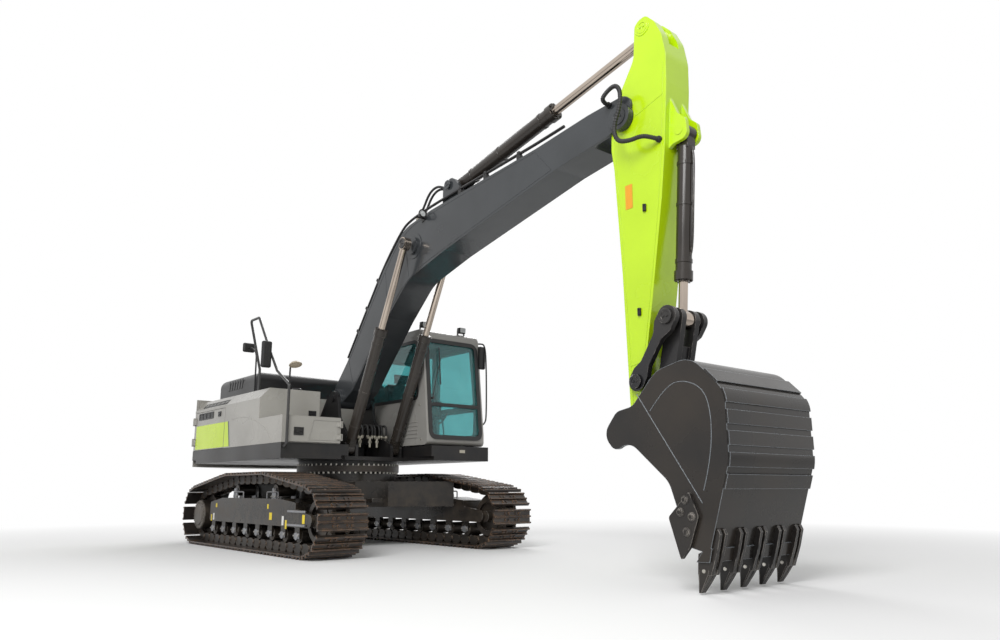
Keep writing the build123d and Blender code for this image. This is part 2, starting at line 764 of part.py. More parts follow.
# Boom: a bent box beam with its bosses
boom_rows = [
    (-130, 40, 90), (-40, -105, 90), (380, -70, 100), (800, 118, 100), (1480, 406, 300), (2090, 610, 600),
    (2870, 500, 500), (4810, 128, 400), (5500, -50, 150), (5880, -40, 150), (5850, 170, 150),
    (5380, 335, 200), (4650, 546, 300), (2830, 1150, 400), (2240, 1300, 500), (1640, 1080, 500),
    (380, 378, 300), (-60, 190, 110),
]
fork_slot = arm_half_width + side_gap
with BuildPart() as boom:
    add(plate(boom_rows, -boom_half_width, boom_half_width, boom_foot, boom_angle))
    add(pin(boom_foot, 130, -bracket_inner + side_gap, bracket_inner - side_gap))
    add(pin(boom_foot, 45 + pin_gap, -bracket_inner - 10, bracket_inner + 10), mode=Mode.SUBTRACT)
    add(pin(on_boom(boom_cylinder_pin), 110, -bracket_inner + side_gap, bracket_inner - side_gap))
    slot_rows = [(boom_length - 410, -500, 0), (boom_length + 400, -500, 0), (boom_length + 400, 700, 0),
                 (boom_length - 410, 700, 0)]
    add(plate(slot_rows, -fork_slot, fork_slot, boom_foot, boom_angle), mode=Mode.SUBTRACT)
    for low, high in ((-240, -fork_slot), (fork_slot, 240)):
        add(pin(arm_pivot, 125, low, high))
    add(pin(arm_pivot, 50, -240, 240))
    for ear_y in (-150, 100):
        base_ears = [(2950, 1000, 0), (3450, 850, 0), (3290, 1330, 100), (3090, 1330, 100)]
        add(plate(base_ears, ear_y, ear_y + 50, boom_foot, boom_angle))
    add(pin(on_boom(arm_cylinder_base), 40, -170, 170))
keep(boom, "boom")

# Arm: a tapering box beam with a clevis at its top and the bucket pivot at its foot
arm_rows = [
    (-870, 205, 60), (-915, 330, 70), (-800, 430, 120), (-640, 500, 200), (-420, 532, 300),
    (-150, 515, 300), (490, 437, 300), (935, 364, 300), (1800, 187, 300), (2320, 70, 300),
    (2780, 105, 150), (3020, 115, 100), (3020, -115, 100), (2700, -135, 200), (1500, -130, 400),
    (460, -151, 300), (260, -172, 200), (60, -155, 200), (-170, -84, 150), (-314, 10, 150),
    (-531, 164, 200),
]
clevis_rows = [(-1000, 0, 0), (-1000, 700, 0), (-560, 700, 0), (-560, 0, 0)]
clevis_half_gap = 70
bucket_ear_rows = [(-60, 480, 0), (160, 560, 60), (240, 640, 60), (420, 650, 70), (430, 490, 60), (460, 430, 0)]
with BuildPart() as arm:
    add(plate(arm_rows, -arm_half_width, arm_half_width, arm_pivot, arm_angle))
    add(plate(clevis_rows, -clevis_half_gap, clevis_half_gap, arm_pivot, arm_angle), mode=Mode.SUBTRACT)
    for ear_y in (-105, 65):
        add(plate(bucket_ear_rows, ear_y, ear_y + 40, arm_pivot, arm_angle))
    add(pin(on_arm(bucket_cylinder_top), 40, -110, 110))
    add(pin(arm_pivot, 50 + pin_gap, -arm_half_width - 1, arm_half_width + 1), mode=Mode.SUBTRACT)
    add(pin(bucket_pivot, 50 + pin_gap, -arm_half_width - 1, arm_half_width + 1), mode=Mode.SUBTRACT)
    add(pin(on_arm(tipping_link_foot), 45 + pin_gap, -arm_half_width - 1, arm_half_width + 1),
        mode=Mode.SUBTRACT)
keep(arm, "arm")


def barrel_and_rod(foot, eye, y, tube_radius, rod_radius, tube_length, rod_start, half_width, foot_pin,
                   knuckle):
    """A cylinder's barrel with its foot knuckle and gland, and its rod with a solid eye."""
    wall_gap = 8
    gland_length = 80
    with BuildPart() as barrel:
        add(bar(along(foot, eye, knuckle), along(foot, eye, tube_length), tube_radius, y))
        add(bar(along(foot, eye, tube_length - gland_length), along(foot, eye, tube_length), tube_radius + 12, y))
        add(plate([(0, -60, 50), (0, 60, 50), (knuckle + 20, 60, 5), (knuckle + 20, -60, 5)],
                  y - half_width, y + half_width, foot, degrees(atan2(eye[1] - foot[1], eye[0] - foot[0]))))
        add(pin(foot, 75, y - half_width, y + half_width))
        add(pin(foot, foot_pin + pin_gap, y - half_width - 1, y + half_width + 1), mode=Mode.SUBTRACT)
        add(bar(along(foot, eye, knuckle + 15), along(foot, eye, tube_length - gland_length),
                rod_radius + wall_gap, y), mode=Mode.SUBTRACT)
        add(bar(along(foot, eye, tube_length - gland_length - 1), along(foot, eye, tube_length + 1),
                rod_radius + pin_gap, y), mode=Mode.SUBTRACT)
    with BuildPart() as rod:
        add(bar(along(foot, eye, rod_start), eye, rod_radius, y, 40))
        add(pin(eye, 80, y - half_width, y + half_width))
    return barrel, rod


boom_cylinder_tube = 1640
for side, side_name in ((-1, "right"), (1, "left")):
    barrel, rod = barrel_and_rod(
        boom_cylinder_foot, on_boom(boom_cylinder_pin), side * boom_cylinder_offset,
        72, 43, boom_cylinder_tube, 1060, 44, 40, 150,
    )
    keep(barrel, f"boom_cylinder_barrel_{side_name}")
    keep(rod, f"boom_cylinder_rod_{side_name}")

barrel, rod = barrel_and_rod(
    on_boom(arm_cylinder_base), on_arm(arm_cylinder_eye), 0, 84, 50, 1751, 1095, 55, 40, 145,
)
keep(barrel, "arm_cylinder_barrel")
keep(rod, "arm_cylinder_rod")

barrel, rod = barrel_and_rod(
    on_arm(bucket_cylinder_top), link_head, 0, 70, 40, 1330, 240, 55, 40, 130,
)
keep(barrel, "bucket_cylinder_barrel")
keep(rod, "bucket_cylinder_rod")

# Tipping links: one plate each side of the arm, on a shaft through it
tipping_foot = on_arm(tipping_link_foot)
link_angle = degrees(atan2(link_head[1] - tipping_foot[1], link_head[0] - tipping_foot[0]))
tipping_length = hypot(link_head[1] - tipping_foot[1], link_head[0] - tipping_foot[0])
link_plate_rows = [
    (-85, -85, 84), (85, -85, 60), (170, -48, 100), (tipping_length - 190, -48, 100),
    (tipping_length - 95, -95, 60), (tipping_length + 95, -95, 94), (tipping_length + 95, 95, 94),
    (tipping_length - 95, 95, 60), (tipping_length - 190, 48, 100), (170, 48, 100), (85, 85, 60),
    (-85, 85, 84),
]
with BuildPart() as tipping_links:
    for low in (-225, 172):
        add(plate(link_plate_rows, low, low + 53, tipping_foot, link_angle))
    add(pin(tipping_foot, 45, -240, 240))
    for low, high in ((-240, -128), (128, 240)):
        add(pin(link_head, 60, low, high))
keep(tipping_links, "tipping_links")

# Bucket link: two plates joined by a web, between rod eye and tipping links
link_foot_angle = degrees(atan2(link_head[1] - bucket_ear_pin[1], link_head[0] - bucket_ear_pin[0]))
bucket_link_length = hypot(link_head[1] - bucket_ear_pin[1], link_head[0] - bucket_ear_pin[0])
bucket_link_rows = [
    (-80, -80, 72), (bucket_link_length + 90, -90, 82), (bucket_link_length + 90, 90, 82), (-80, 80, 72),
]
with BuildPart() as bucket_link:
    for low in (-122, 62):
        add(plate(bucket_link_rows, low, low + 60, bucket_ear_pin, link_foot_angle))
    add(plate([(60, -60, 0), (bucket_link_length - 230, -60, 0), (bucket_link_length - 230, -20, 0),
               (60, -20, 0)], -100, 100, bucket_ear_pin, link_foot_angle))
    add(pin(bucket_ear_pin, 80, -160, 160))
    add(pin(bucket_ear_pin, 45 + pin_gap, -161, 161), mode=Mode.SUBTRACT)
keep(bucket_link, "bucket_link")

# Bucket: side plates and a wrapped back, open at its mouth
bucket_half_width = 585
bucket_shell = 28
ear_low = 170
ear_thickness = 50
bucket_outline = [
    (5330, 1190, 110), (5480, 1370, 110), (5650, 1400, 120), (5900, 1660, 250),
    (6230, 1735, 220), (6520, 1450, 230), (6530, 950, 400), (6330, 290, 0), (6157, 330, 20),
    (5990, 800, 200), (5600, 1130, 150), (5460, 1040, 80),
]
mouth_rows = [
    (6262, 300, 0), (6100, 150, 0), (5250, 900, 0), (5250, 1500, 0), (5880, 1610, 0), (6200, 1400, 0),
]
bucket_ear_rows_outer = [
    (5290, 1160, 95), (5320, 1330, 110), (5540, 1680, 80), (5680, 1680, 90), (6060, 1720, 60),
    (6060, 1640, 0), (5900, 1560, 150), (5540, 1130, 110), (5400, 1090, 90),
]
lip_rows = [(6318, 330, 0), (6352, 330, 0), (6325, 232, 0), (6210, 228, 0), (6262, 300, 0)]
with BuildPart() as bucket:
    add(plate(bucket_outline, -bucket_half_width, bucket_half_width))
    with BuildSketch(side_view(bucket_half_width - bucket_shell)):
        with BuildLine():
            FilletPolyline([(row[0], row[1]) for row in bucket_outline],
                           radius=[row[2] for row in bucket_outline], close=True)
        make_face()
        offset(amount=-bucket_shell)
        with BuildLine():
            Polyline([(row[0], row[1]) for row in mouth_rows], close=True)
        make_face()
    extrude(amount=2 * (bucket_half_width - bucket_shell), mode=Mode.SUBTRACT)
    add(plate(lip_rows, -bucket_half_width, bucket_half_width))
    for low in (-ear_low - ear_thickness, ear_low):
        add(plate(bucket_ear_rows_outer, low, low + ear_thickness))
    add(pin(bucket_pivot, 50, -ear_low - ear_thickness - 20, ear_low + ear_thickness + 20))
    add(pin(bucket_ear_pin, 45, -ear_low - ear_thickness - 20, ear_low + ear_thickness + 20))
keep(bucket, "bucket")

tooth_count = 5
tooth_spacing = 260
with BuildPart() as bucket_teeth:
    for index in range(tooth_count):
        tooth_y = (index - (tooth_count - 1) / 2) * tooth_spacing
        add(plate([(6215, 234, 0), (6325, 239, 0), (6300, 100, 0), (6205, 8, 0), (6190, 10, 0), (6200, 120, 0)],
                  tooth_y - 45, tooth_y + 45))
    add(plate([(x, z, 0) for x, z, bend in lip_rows], -bucket_half_width - 1, bucket_half_width + 1),
        mode=Mode.SUBTRACT)
keep(bucket_teeth, "bucket_teeth")

# Hose across the arm's pivot
hose_radius = 22
with BuildPart() as arm_hose:
    add(tube([(5150, -boom_half_width - seat_gap, 4330), (5150, -330, 4330), (5300, -330, 4420), (5400, -330, 4300),
              (5330, -330, 4050), (5500, -330, 3850), (5680, -250, 3800)], hose_radius, 40))
keep(arm_hose, "arm_hose")

# The machine's origin: on the ground at the middle of its box
boxes = [piece.bounding_box() for piece in machine.values()]
middle_x = (min(box.min.X for box in boxes) + max(box.max.X for box in boxes)) / 2
middle_y = (min(box.min.Y for box in boxes) + max(box.max.Y for box in boxes)) / 2
print(f"swing axis at {-middle_x:.3f}, {-middle_y:.3f}")
for label, piece in machine.items():
    placed = Location((-middle_x, -middle_y, 0)) * piece
    placed.label = label
    export_step(placed, f"parts/{label}.step")
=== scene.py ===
"""Looks of a crawler excavator: paint, bare steel, glass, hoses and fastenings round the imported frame."""
from math import acos, atan2, cos, hypot, pi, radians, sin

import bmesh
import bpy
from mathutils import Matrix, Vector


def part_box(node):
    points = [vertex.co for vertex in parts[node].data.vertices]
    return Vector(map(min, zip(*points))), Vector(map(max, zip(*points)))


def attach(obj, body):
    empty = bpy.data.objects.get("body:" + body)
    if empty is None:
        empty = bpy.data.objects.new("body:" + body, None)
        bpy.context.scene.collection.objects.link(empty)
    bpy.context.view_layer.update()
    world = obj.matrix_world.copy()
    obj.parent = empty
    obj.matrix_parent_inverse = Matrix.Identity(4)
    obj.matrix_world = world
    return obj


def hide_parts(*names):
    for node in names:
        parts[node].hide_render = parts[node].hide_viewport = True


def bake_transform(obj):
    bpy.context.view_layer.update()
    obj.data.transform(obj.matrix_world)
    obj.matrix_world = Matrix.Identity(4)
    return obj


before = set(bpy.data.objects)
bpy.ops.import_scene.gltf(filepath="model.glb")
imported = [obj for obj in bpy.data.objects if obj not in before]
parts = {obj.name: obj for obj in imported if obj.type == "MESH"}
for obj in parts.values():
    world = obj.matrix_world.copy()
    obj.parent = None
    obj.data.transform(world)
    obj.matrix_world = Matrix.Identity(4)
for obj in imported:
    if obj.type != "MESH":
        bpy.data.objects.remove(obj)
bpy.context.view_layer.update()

# The machine is laid out about its swing axis, which is the middle of the slewing ring.
# Places below are metres forward of that axis, to its left and above the ground.
ring_low, ring_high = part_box("slew_ring")
swing = (ring_low + ring_high) / 2


def place(x, y, z):
    """A point given from the swing axis, in the frame's own axes."""
    return Vector((x + swing.x, y + swing.y, z))


# Camera: low in front of the right track, looking slightly up at the machine.
# A wide lens makes the bucket large and the tail small.
camera_place = place(9.759, -5.369, 0.752)
camera_yaw = radians(139.398)
camera_pitch = radians(10.538)
camera_roll = radians(-0.105)
camera_data = bpy.data.cameras.new("camera")
camera_data.lens = 28.03
camera_data.sensor_width = 36
camera_data.shift_x = -0.0126
camera_data.shift_y = 0.0239
camera_data.clip_end = 300
camera = bpy.data.objects.new("camera", camera_data)
ahead = Vector((cos(camera_yaw) * cos(camera_pitch), sin(camera_yaw) * cos(camera_pitch), sin(camera_pitch)))
across = Vector((sin(camera_yaw), -cos(camera_yaw), 0))
upward = across.cross(ahead)
turned = Matrix((across, upward, -ahead)).transposed().to_4x4()
camera.matrix_world = Matrix.Translation(camera_place) @ turned @ Matrix.Rotation(camera_roll, 4, "Z")
scene = bpy.context.scene
scene.collection.objects.link(camera)
bpy.context.scene.camera = camera

# Studio: a pale floor under a plain white surround, and two large soft lamps.
# Rays to the camera, mirrors and glass see white, whatever the surround's light is.
# The floor keeps the machine's shadow, and is plain white to the camera farther out.


def add_node(tree, kind, inputs, **settings):
    """A shader node with its inputs set to values or joined to other nodes' outputs."""
    made = tree.nodes.new(kind)
    for key, value in settings.items():
        setattr(made, key, value)
    for key, value in inputs.items():
        if isinstance(value, bpy.types.NodeSocket):
            tree.links.new(value, made.inputs[key])
        else:
            made.inputs[key].default_value = value
    return made


def calculate(tree, operation, first, second, **settings):
    """The output of one sum, product or comparison of two values."""
    made = add_node(tree, "ShaderNodeMath", {0: first, 1: second}, operation=operation, **settings)
    return made.outputs[0]


def ramp(tree, value, low, high, to_low=0.0, to_high=1.0):
    """A value stretched from one range to another, and held at its ends."""
    return add_node(tree, "ShaderNodeMapRange", {
        "Value": value, "From Min": low, "From Max": high, "To Min": to_low, "To Max": to_high,
    }).outputs[0]


scene.view_settings.view_transform = "Standard"
white = (1, 1, 1, 1)
world = bpy.data.worlds.new("studio")
world.use_nodes = True
scene.world = world
sky = world.node_tree
sky_light = sky.nodes["Background"]
sky_light.inputs["Color"].default_value = white
sky_light.inputs["Strength"].default_value = 0.42
sky_white = add_node(sky, "ShaderNodeBackground", {"Color": white})
sky_rays = sky.nodes.new("ShaderNodeLightPath").outputs
sky_seen = calculate(sky, "MAXIMUM", sky_rays["Is Camera Ray"], sky_rays["Is Glossy Ray"])
sky_seen = calculate(sky, "MAXIMUM", sky_seen, sky_rays["Is Transmission Ray"])
sky_mix = add_node(sky, "ShaderNodeMixShader", {
    "Fac": sky_seen, 1: sky_light.outputs[0], 2: sky_white.outputs[0],
})
sky.links.new(sky_mix.outputs[0], sky.nodes["World Output"].inputs["Surface"])

lamp_size = 6.0
lamp_aim = place(0, 0, 1.5)
lamps = [
    # name, place, power
    ("front_lamp", place(9.0, -9.0, 9.0), 1250),
    ("rear_lamp", place(-6.0, 6.0, 8.0), 520),
]
for name, spot, power in lamps:
    lamp_data = bpy.data.lights.new(name, "AREA")
    lamp_data.size = lamp_size
    lamp_data.energy = power
    lamp = bpy.data.objects.new(name, lamp_data)
    facing = (lamp_aim - spot).to_track_quat("-Z", "Y").to_matrix().to_4x4()
    lamp.matrix_world = Matrix.Translation(spot) @ facing
    scene.collection.objects.link(lamp)

shadow_reach = 5.0
plain_from = 11.0
floor_mesh = bmesh.new()
bmesh.ops.create_grid(floor_mesh, x_segments=1, y_segments=1, size=60)
floor_data = bpy.data.meshes.new("floor")
floor_mesh.to_mesh(floor_data)
floor_mesh.free()
floor = bpy.data.objects.new("floor", floor_data)
floor_paint = bpy.data.materials.new("floor")
floor_paint.use_nodes = True
floor_tree = floor_paint.node_tree
floor_shader = floor_tree.nodes["Principled BSDF"]
floor_shader.inputs["Base Color"].default_value = (0.9, 0.9, 0.9, 1)
floor_shader.inputs["Roughness"].default_value = 0.9
floor_white = floor_tree.nodes.new("ShaderNodeEmission")
floor_where = floor_tree.nodes.new("ShaderNodeTexCoord").outputs["Object"]
floor_away = add_node(floor_tree, "ShaderNodeVectorMath", {0: floor_where}, operation="LENGTH")
floor_plain = ramp(floor_tree, floor_away.outputs["Value"], shadow_reach, plain_from)
floor_rays = floor_tree.nodes.new("ShaderNodeLightPath").outputs
floor_seen = calculate(floor_tree, "MULTIPLY", floor_plain, floor_rays["Is Camera Ray"])
floor_mix = add_node(floor_tree, "ShaderNodeMixShader", {
    "Fac": floor_seen, 1: floor_shader.outputs[0], 2: floor_white.outputs[0],
})
floor_tree.links.new(floor_mix.outputs[0], floor_tree.nodes["Material Output"].inputs["Surface"])
floor_data.materials.append(floor_paint)
scene.collection.objects.link(floor)

# Undercarriage frame: welded steel plate, sprayed black over everything once it is put together.
# The paint is glossy, with soft brown dust in its low places and bare edges where it is knocked.


def mix_colours(tree, share, first, second):
    """The output of a colour mix between two colours or outputs."""
    return add_node(tree, "ShaderNodeMix", {0: share, 6: first, 7: second}, data_type="RGBA").outputs[2]


def noise(tree, where, scale, detail, roughness=0.5):
    """The output of a soft random pattern, with more or less fine detail in it."""
    return add_node(tree, "ShaderNodeTexNoise", {
        "Vector": where, "Scale": scale, "Detail": detail, "Roughness": roughness,
    }).outputs[0]


def finish(name, colour, shade, gloss, metallic=0.0, coat=0.0, grain=140.0, grain_depth=0.0004, shine=0.5,
           edge_wear_and_highlight=None, edge_width=0.005, edge_wear_and_highlight_share=0.5, dust=None, dust_top=0.9, dust_share=0.6):
    """Paint or bare metal in two soft tones, with fine grain, settled dust and bright edges that show rubbed
    wear and, on the bucket, also a painted highlight.

    Gloss is the roughness from its smoothest to its dullest patch, and shine how strongly it mirrors."""
    cloud_scale = 1.5
    edge_patch_scale = 14.0
    dust_scale = 5.0
    material = bpy.data.materials.new(name)
    material.use_nodes = True
    tree = material.node_tree
    shader = tree.nodes["Principled BSDF"]
    where = tree.nodes.new("ShaderNodeTexCoord").outputs["Object"]
    normal = tree.nodes.new("ShaderNodeNewGeometry").outputs["Normal"]
    clouds = noise(tree, where, cloud_scale, 5.0)
    grains = noise(tree, where, grain, 3.0)
    seen = mix_colours(tree, ramp(tree, clouds, 0.35, 0.65), (*colour, 1), (*shade, 1))
    dull = ramp(tree, clouds, 0.3, 0.7, *gloss)
    softened = add_node(tree, "ShaderNodeBevel", {"Radius": edge_width}, samples=4).outputs[0]
    # Bright edge colour: rubbed wear, and on the bucket also a painted highlight along its edges.
    if edge_wear_and_highlight:
        turn = add_node(tree, "ShaderNodeVectorMath", {0: softened, 1: normal}, operation="DOT_PRODUCT")
        edge = ramp(tree, turn.outputs["Value"], 0.995, 0.94)
        edge_patches = noise(tree, where, edge_patch_scale, 6.0)
        worn_and_highlit = ramp(tree, edge_patches, 0.62 - edge_wear_and_highlight_share * 0.3, 0.68 - edge_wear_and_highlight_share * 0.2)
        seen = mix_colours(tree, calculate(tree, "MULTIPLY", edge, worn_and_highlit), seen, (*edge_wear_and_highlight, 1))
    if dust:
        height = add_node(tree, "ShaderNodeSeparateXYZ", {"Vector": where}).outputs["Z"]
        facing_up = add_node(tree, "ShaderNodeSeparateXYZ", {"Vector": normal}).outputs["Z"]
        low_down = ramp(tree, height, dust_top, 0.0)
        lying = ramp(tree, facing_up, -0.3, 0.9, 0.35, 1.0)
        patches = ramp(tree, noise(tree, where, dust_scale, 8.0, 0.7), 0.42, 0.66)
        settled = calculate(tree, "MULTIPLY", low_down, lying)
        settled = calculate(tree, "MULTIPLY", settled, patches)
        settled = calculate(tree, "MULTIPLY", settled, dust_share)
        seen = mix_colours(tree, settled, seen, (*dust, 1))
        dull = calculate(tree, "ADD", dull, settled, use_clamp=True)
    relief = add_node(tree, "ShaderNodeBump", {
        "Height": grains, "Distance": grain_depth, "Strength": 0.6, "Normal": softened,
    })
    tree.links.new(seen, shader.inputs["Base Color"])
    tree.links.new(dull, shader.inputs["Roughness"])
    tree.links.new(relief.outputs[0], shader.inputs["Normal"])
    shader.inputs["Metallic"].default_value = metallic
    shader.inputs["Specular IOR Level"].default_value = shine
    shader.inputs["Coat Weight"].default_value = coat
    shader.inputs["Coat Roughness"].default_value = 0.08
    return material


def dress(material, *names):
    """Gives CAD nodes a material in place of the plain one that they come with."""
    for part_name in names:
        slots = parts[part_name].data.materials
        slots.clear()
        slots.append(material)


earth = (0.23, 0.17, 0.11)
bare_steel = (0.36, 0.33, 0.30)
frame_black = finish("frame_black", (0.012, 0.011, 0.010), (0.022, 0.018, 0.015), (0.18, 0.36), coat=0.2,
                     shine=0.3, edge_wear_and_highlight=bare_steel, edge_wear_and_highlight_share=0.35, dust=earth, dust_top=1.1, dust_share=0.5)
dress(frame_black, "carbody", "track_frame_right", "track_frame_left")

# Weld bead round the foot of the pedestal, where it stands on the centre box, laid in short runs.
# It is the same steel under the same paint, a little proud of the plate.


def new_piece(name, shape, body, material, slot):
    """Makes a mesh object of a bmesh, with its faces outwards, and lets it ride on a CAD body."""
    bmesh.ops.recalc_face_normals(shape, faces=shape.faces)
    data = bpy.data.meshes.new(name)
    shape.to_mesh(data)
    shape.free()
    piece = bpy.data.objects.new(name, data)
    data.materials.append(material)
    scene.collection.objects.link(piece)
    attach(piece, body)
    return piece


def add_rod(shape, start, end, radius, end_radius=None, sides=12, caps=True):
    """A round bar or cone between two points."""
    run = end - start
    lie = Matrix.Translation((start + end) / 2) @ run.to_track_quat("Z", "Y").to_matrix().to_4x4()
    far_radius = radius if end_radius is None else end_radius
    bmesh.ops.create_cone(shape, cap_ends=caps, segments=sides, radius1=radius, radius2=far_radius,
                          depth=run.length, matrix=lie)


pedestal_radius = 0.64
pedestal_foot = 0.853
pedestal_steps = 48
pedestal_weld = bmesh.new()
for step in range(pedestal_steps):
    start, end = (place(pedestal_radius * cos(turn), pedestal_radius * sin(turn), pedestal_foot)
                  for turn in (2 * pi * (step + late) / pedestal_steps for late in (0, 1)))
    add_rod(pedestal_weld, start, end, 0.011, 0.009, sides=6, caps=False)
new_piece("pedestal_weld", pedestal_weld, "undercarriage", frame_black, "black_paint")

# Slewing ring: a machined bearing race in dark oiled steel, bolted down to the pedestal.
# Two rows of zinc-plated bolts stand round it, under its flange and on top.
upright = Vector((0, 0, 1))
forward = Vector((1, 0, 0))


def add_bolt(shape, foot, along, head=0.014, height=0.012, washer=0.004):
    """A hexagon bolt head on its washer, standing on a surface."""
    add_rod(shape, foot, foot + along * washer, head * 1.35, sides=12)
    add_rod(shape, foot + along * washer, foot + along * (washer + height), head * 1.15, head * 1.1, sides=6)


def add_bolt_circle(shape, centre, along, first, radius, count, head, height, washer=0.004, start=0.0):
    """Bolts spaced evenly round a centre, counted from a first direction."""
    second = along.cross(first)
    for step in range(count):
        turn = 2 * pi * step / count + start
        foot = centre + (first * cos(turn) + second * sin(turn)) * radius
        add_bolt(shape, foot, along, head, height, washer)


oiled_steel = finish("oiled_steel", (0.030, 0.027, 0.025), (0.055, 0.045, 0.037), (0.22, 0.5), metallic=0.55,
                     edge_wear_and_highlight=bare_steel, edge_wear_and_highlight_share=0.7, dust=earth, dust_top=1.0, dust_share=0.5)
bright_zinc = finish("bright_zinc", (0.62, 0.60, 0.55), (0.40, 0.38, 0.34), (0.25, 0.45), metallic=0.9,
                     edge_width=0.0015)
dress(oiled_steel, "slew_ring")
ring_bolt_count = 60
top_row_radius = 0.678
low_row_radius = 0.665
ring_bolts = bmesh.new()
add_bolt_circle(ring_bolts, place(0, 0, ring_high.z), upright, forward, top_row_radius, ring_bolt_count,
                0.0095, 0.02)
add_bolt_circle(ring_bolts, place(0, 0, ring_low.z), -upright, forward, low_row_radius, ring_bolt_count,
                0.0125, 0.02, start=pi / ring_bolt_count)
new_piece("slewing_ring_bolts", ring_bolts, "undercarriage", bright_zinc, "cast_parts")

# Tracks: forged links pinned end to end, with a rolled steel shoe bolted to each pair.
# Every shoe has three grousers; their tips are worn to rusty bare steel.
link_height = 0.062
link_depth = 0.045
shoe_thickness = 0.014
grouser_height = 0.026
shoe_width = 0.6
shoe_pitch = 0.19
tumbler_radius = 0.3
track_gauge = 2.38
track_top = 0.963
tumbler_distance = 3.462
carrier_spacing = 1.2
rail_offset = 0.085
rail_width = 0.044
pin_reach = 0.118
pin_radius = 0.021
shoe_height = link_height + shoe_thickness + grouser_height
wheel_height = tumbler_radius + shoe_height
top_pins = track_top - shoe_height
track_rise = top_pins - wheel_height
track_reach = tumbler_distance / 2 - carrier_spacing / 2
track_lean = atan2(track_rise, -track_reach) - acos(tumbler_radius / hypot(track_reach, track_rise))
track_sides = ((-1, "right"), (1, "left"))


def tumbler_rim(x, angle):
    """A point of the pin line on a wheel."""
    return Vector((x + tumbler_radius * cos(angle), wheel_height + tumbler_radius * sin(angle)))


front_x = tumbler_distance / 2
front_carrier = Vector((carrier_spacing / 2, top_pins))
rear_carrier = Vector((-carrier_spacing / 2, top_pins))
pin_line = [
    # straight: start, end; round a wheel: its place, first angle, last angle
    (tumbler_rim(-front_x, -pi / 2), tumbler_rim(front_x, -pi / 2)),
    (front_x, -pi / 2, track_lean),
    (tumbler_rim(front_x, track_lean), front_carrier),
    (front_carrier, rear_carrier),
    (rear_carrier, tumbler_rim(-front_x, pi - track_lean)),
    (-front_x, pi - track_lean, 3 * pi / 2),
]


def run_length(run):
    """How long one straight or round run of the pin line is."""
    return (run[1] - run[0]).length if len(run) == 2 else tumbler_radius * (run[2] - run[1])


def pin_place(distance):
    """Where the pin line is, at a distance along it."""
    for run in pin_line:
        if distance <= run_length(run):
            break
        distance -= run_length(run)
    if len(run) == 2:
        return run[0] + (run[1] - run[0]).normalized() * distance
    return tumbler_rim(run[0], run[1] + distance / tumbler_radius)


def mirrored(half):
    """A whole outline or line of (along, height) from its front half."""
    return [(-along, height) for along, height in half] + half[::-1]


def push(shape, faces, way):
    """Gives flat faces a thickness along a vector."""
    pushed = bmesh.ops.extrude_face_region(shape, geom=faces)["geom"]
    moved = [item for item in pushed if isinstance(item, bmesh.types.BMVert)]
    bmesh.ops.translate(shape, verts=moved, vec=way)


def add_profile(shape, rows, lie, low, high):
    """A bar of one outline, from one distance to another along its length.

    Rows are (along, height); lie places along, length and height."""
    ring = [shape.verts.new(lie @ Vector((along, low, height))) for along, height in rows]
    push(shape, [shape.faces.new(ring)], lie.to_3x3() @ Vector((0, high - low, 0)))


loop_length = sum(run_length(run) for run in pin_line)
shoe_count = round(loop_length / shoe_pitch)
link_pins = [pin_place(loop_length * index / shoe_count) for index in range(shoe_count)]
shoe_rows = mirrored([
    # along the track, height over the pins
    (0.094, link_height), (0.094, 0.066), (0.089, 0.098), (0.080, shoe_height), (0.072, 0.099),
    (0.065, 0.077), (0.014, 0.075), (0.007, 0.101),
])
link_rows = mirrored([
    (0.062, link_height), (0.080, 0.044), (0.099, 0.020), (0.099, -0.012), (0.085, -0.032),
    (0.060, -0.036), (0.040, -link_depth),
])
shoe_bolt_foot = link_height + shoe_thickness
shoe_bolt_top = 0.090
shoe_bolt_ahead = 0.039
shoe_bolt_rows = (0.058, 0.112)
shoe_steel = finish("shoe_steel", (0.020, 0.019, 0.020), (0.040, 0.030, 0.024), (0.20, 0.46), metallic=0.35,
                    coat=0.25, edge_wear_and_highlight=(0.40, 0.21, 0.10), edge_wear_and_highlight_share=0.8, dust=earth, dust_top=1.2,
                    dust_share=0.15)
link_steel = finish("link_steel", (0.018, 0.017, 0.016), (0.045, 0.034, 0.026), (0.24, 0.55), metallic=0.4,
                    edge_wear_and_highlight=(0.30, 0.22, 0.16), edge_wear_and_highlight_share=0.8, dust=earth, dust_top=1.2, dust_share=0.3)
for side, side_name in track_sides:
    middle = side * track_gauge / 2
    shoes = bmesh.new()
    links = bmesh.new()
    for index, here in enumerate(link_pins):
        after = link_pins[(index + 1) % shoe_count]
        centre = (here + after) / 2
        run = (after - here).normalized()
        turned = Matrix(((run.x, 0, run.y, 0), (0, 1, 0, 0), (run.y, 0, -run.x, 0), (0, 0, 0, 1)))
        lie = Matrix.Translation(place(centre.x, middle, centre.y)) @ turned
        add_profile(shoes, shoe_rows, lie, -shoe_width / 2, shoe_width / 2)
        for bolt_x in (-shoe_bolt_ahead, shoe_bolt_ahead):
            for bolt_y in (y * way for y in shoe_bolt_rows for way in (-1, 1)):
                add_rod(shoes, lie @ Vector((bolt_x, bolt_y, shoe_bolt_foot)),
                        lie @ Vector((bolt_x, bolt_y, shoe_bolt_top)), 0.015, sides=6)
        for rail in (-rail_offset, rail_offset):
            add_profile(links, link_rows, lie, rail - rail_width / 2, rail + rail_width / 2)
        add_rod(links, place(here.x, middle - pin_reach, here.y), place(here.x, middle + pin_reach, here.y),
                pin_radius)
    shoes_made = new_piece(f"track_shoes_{side_name}", shoes, "undercarriage", shoe_steel, "track_steel")
    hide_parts(f"track_{side_name}")
    new_piece(f"track_links_{side_name}", links, "undercarriage", link_steel, "track_steel")
dress(oiled_steel, *(f"{wheel}_{side_name}" for side, side_name in track_sides
                     for wheel in ("idler", "final_drive", "bottom_rollers", "carrier_rollers")))

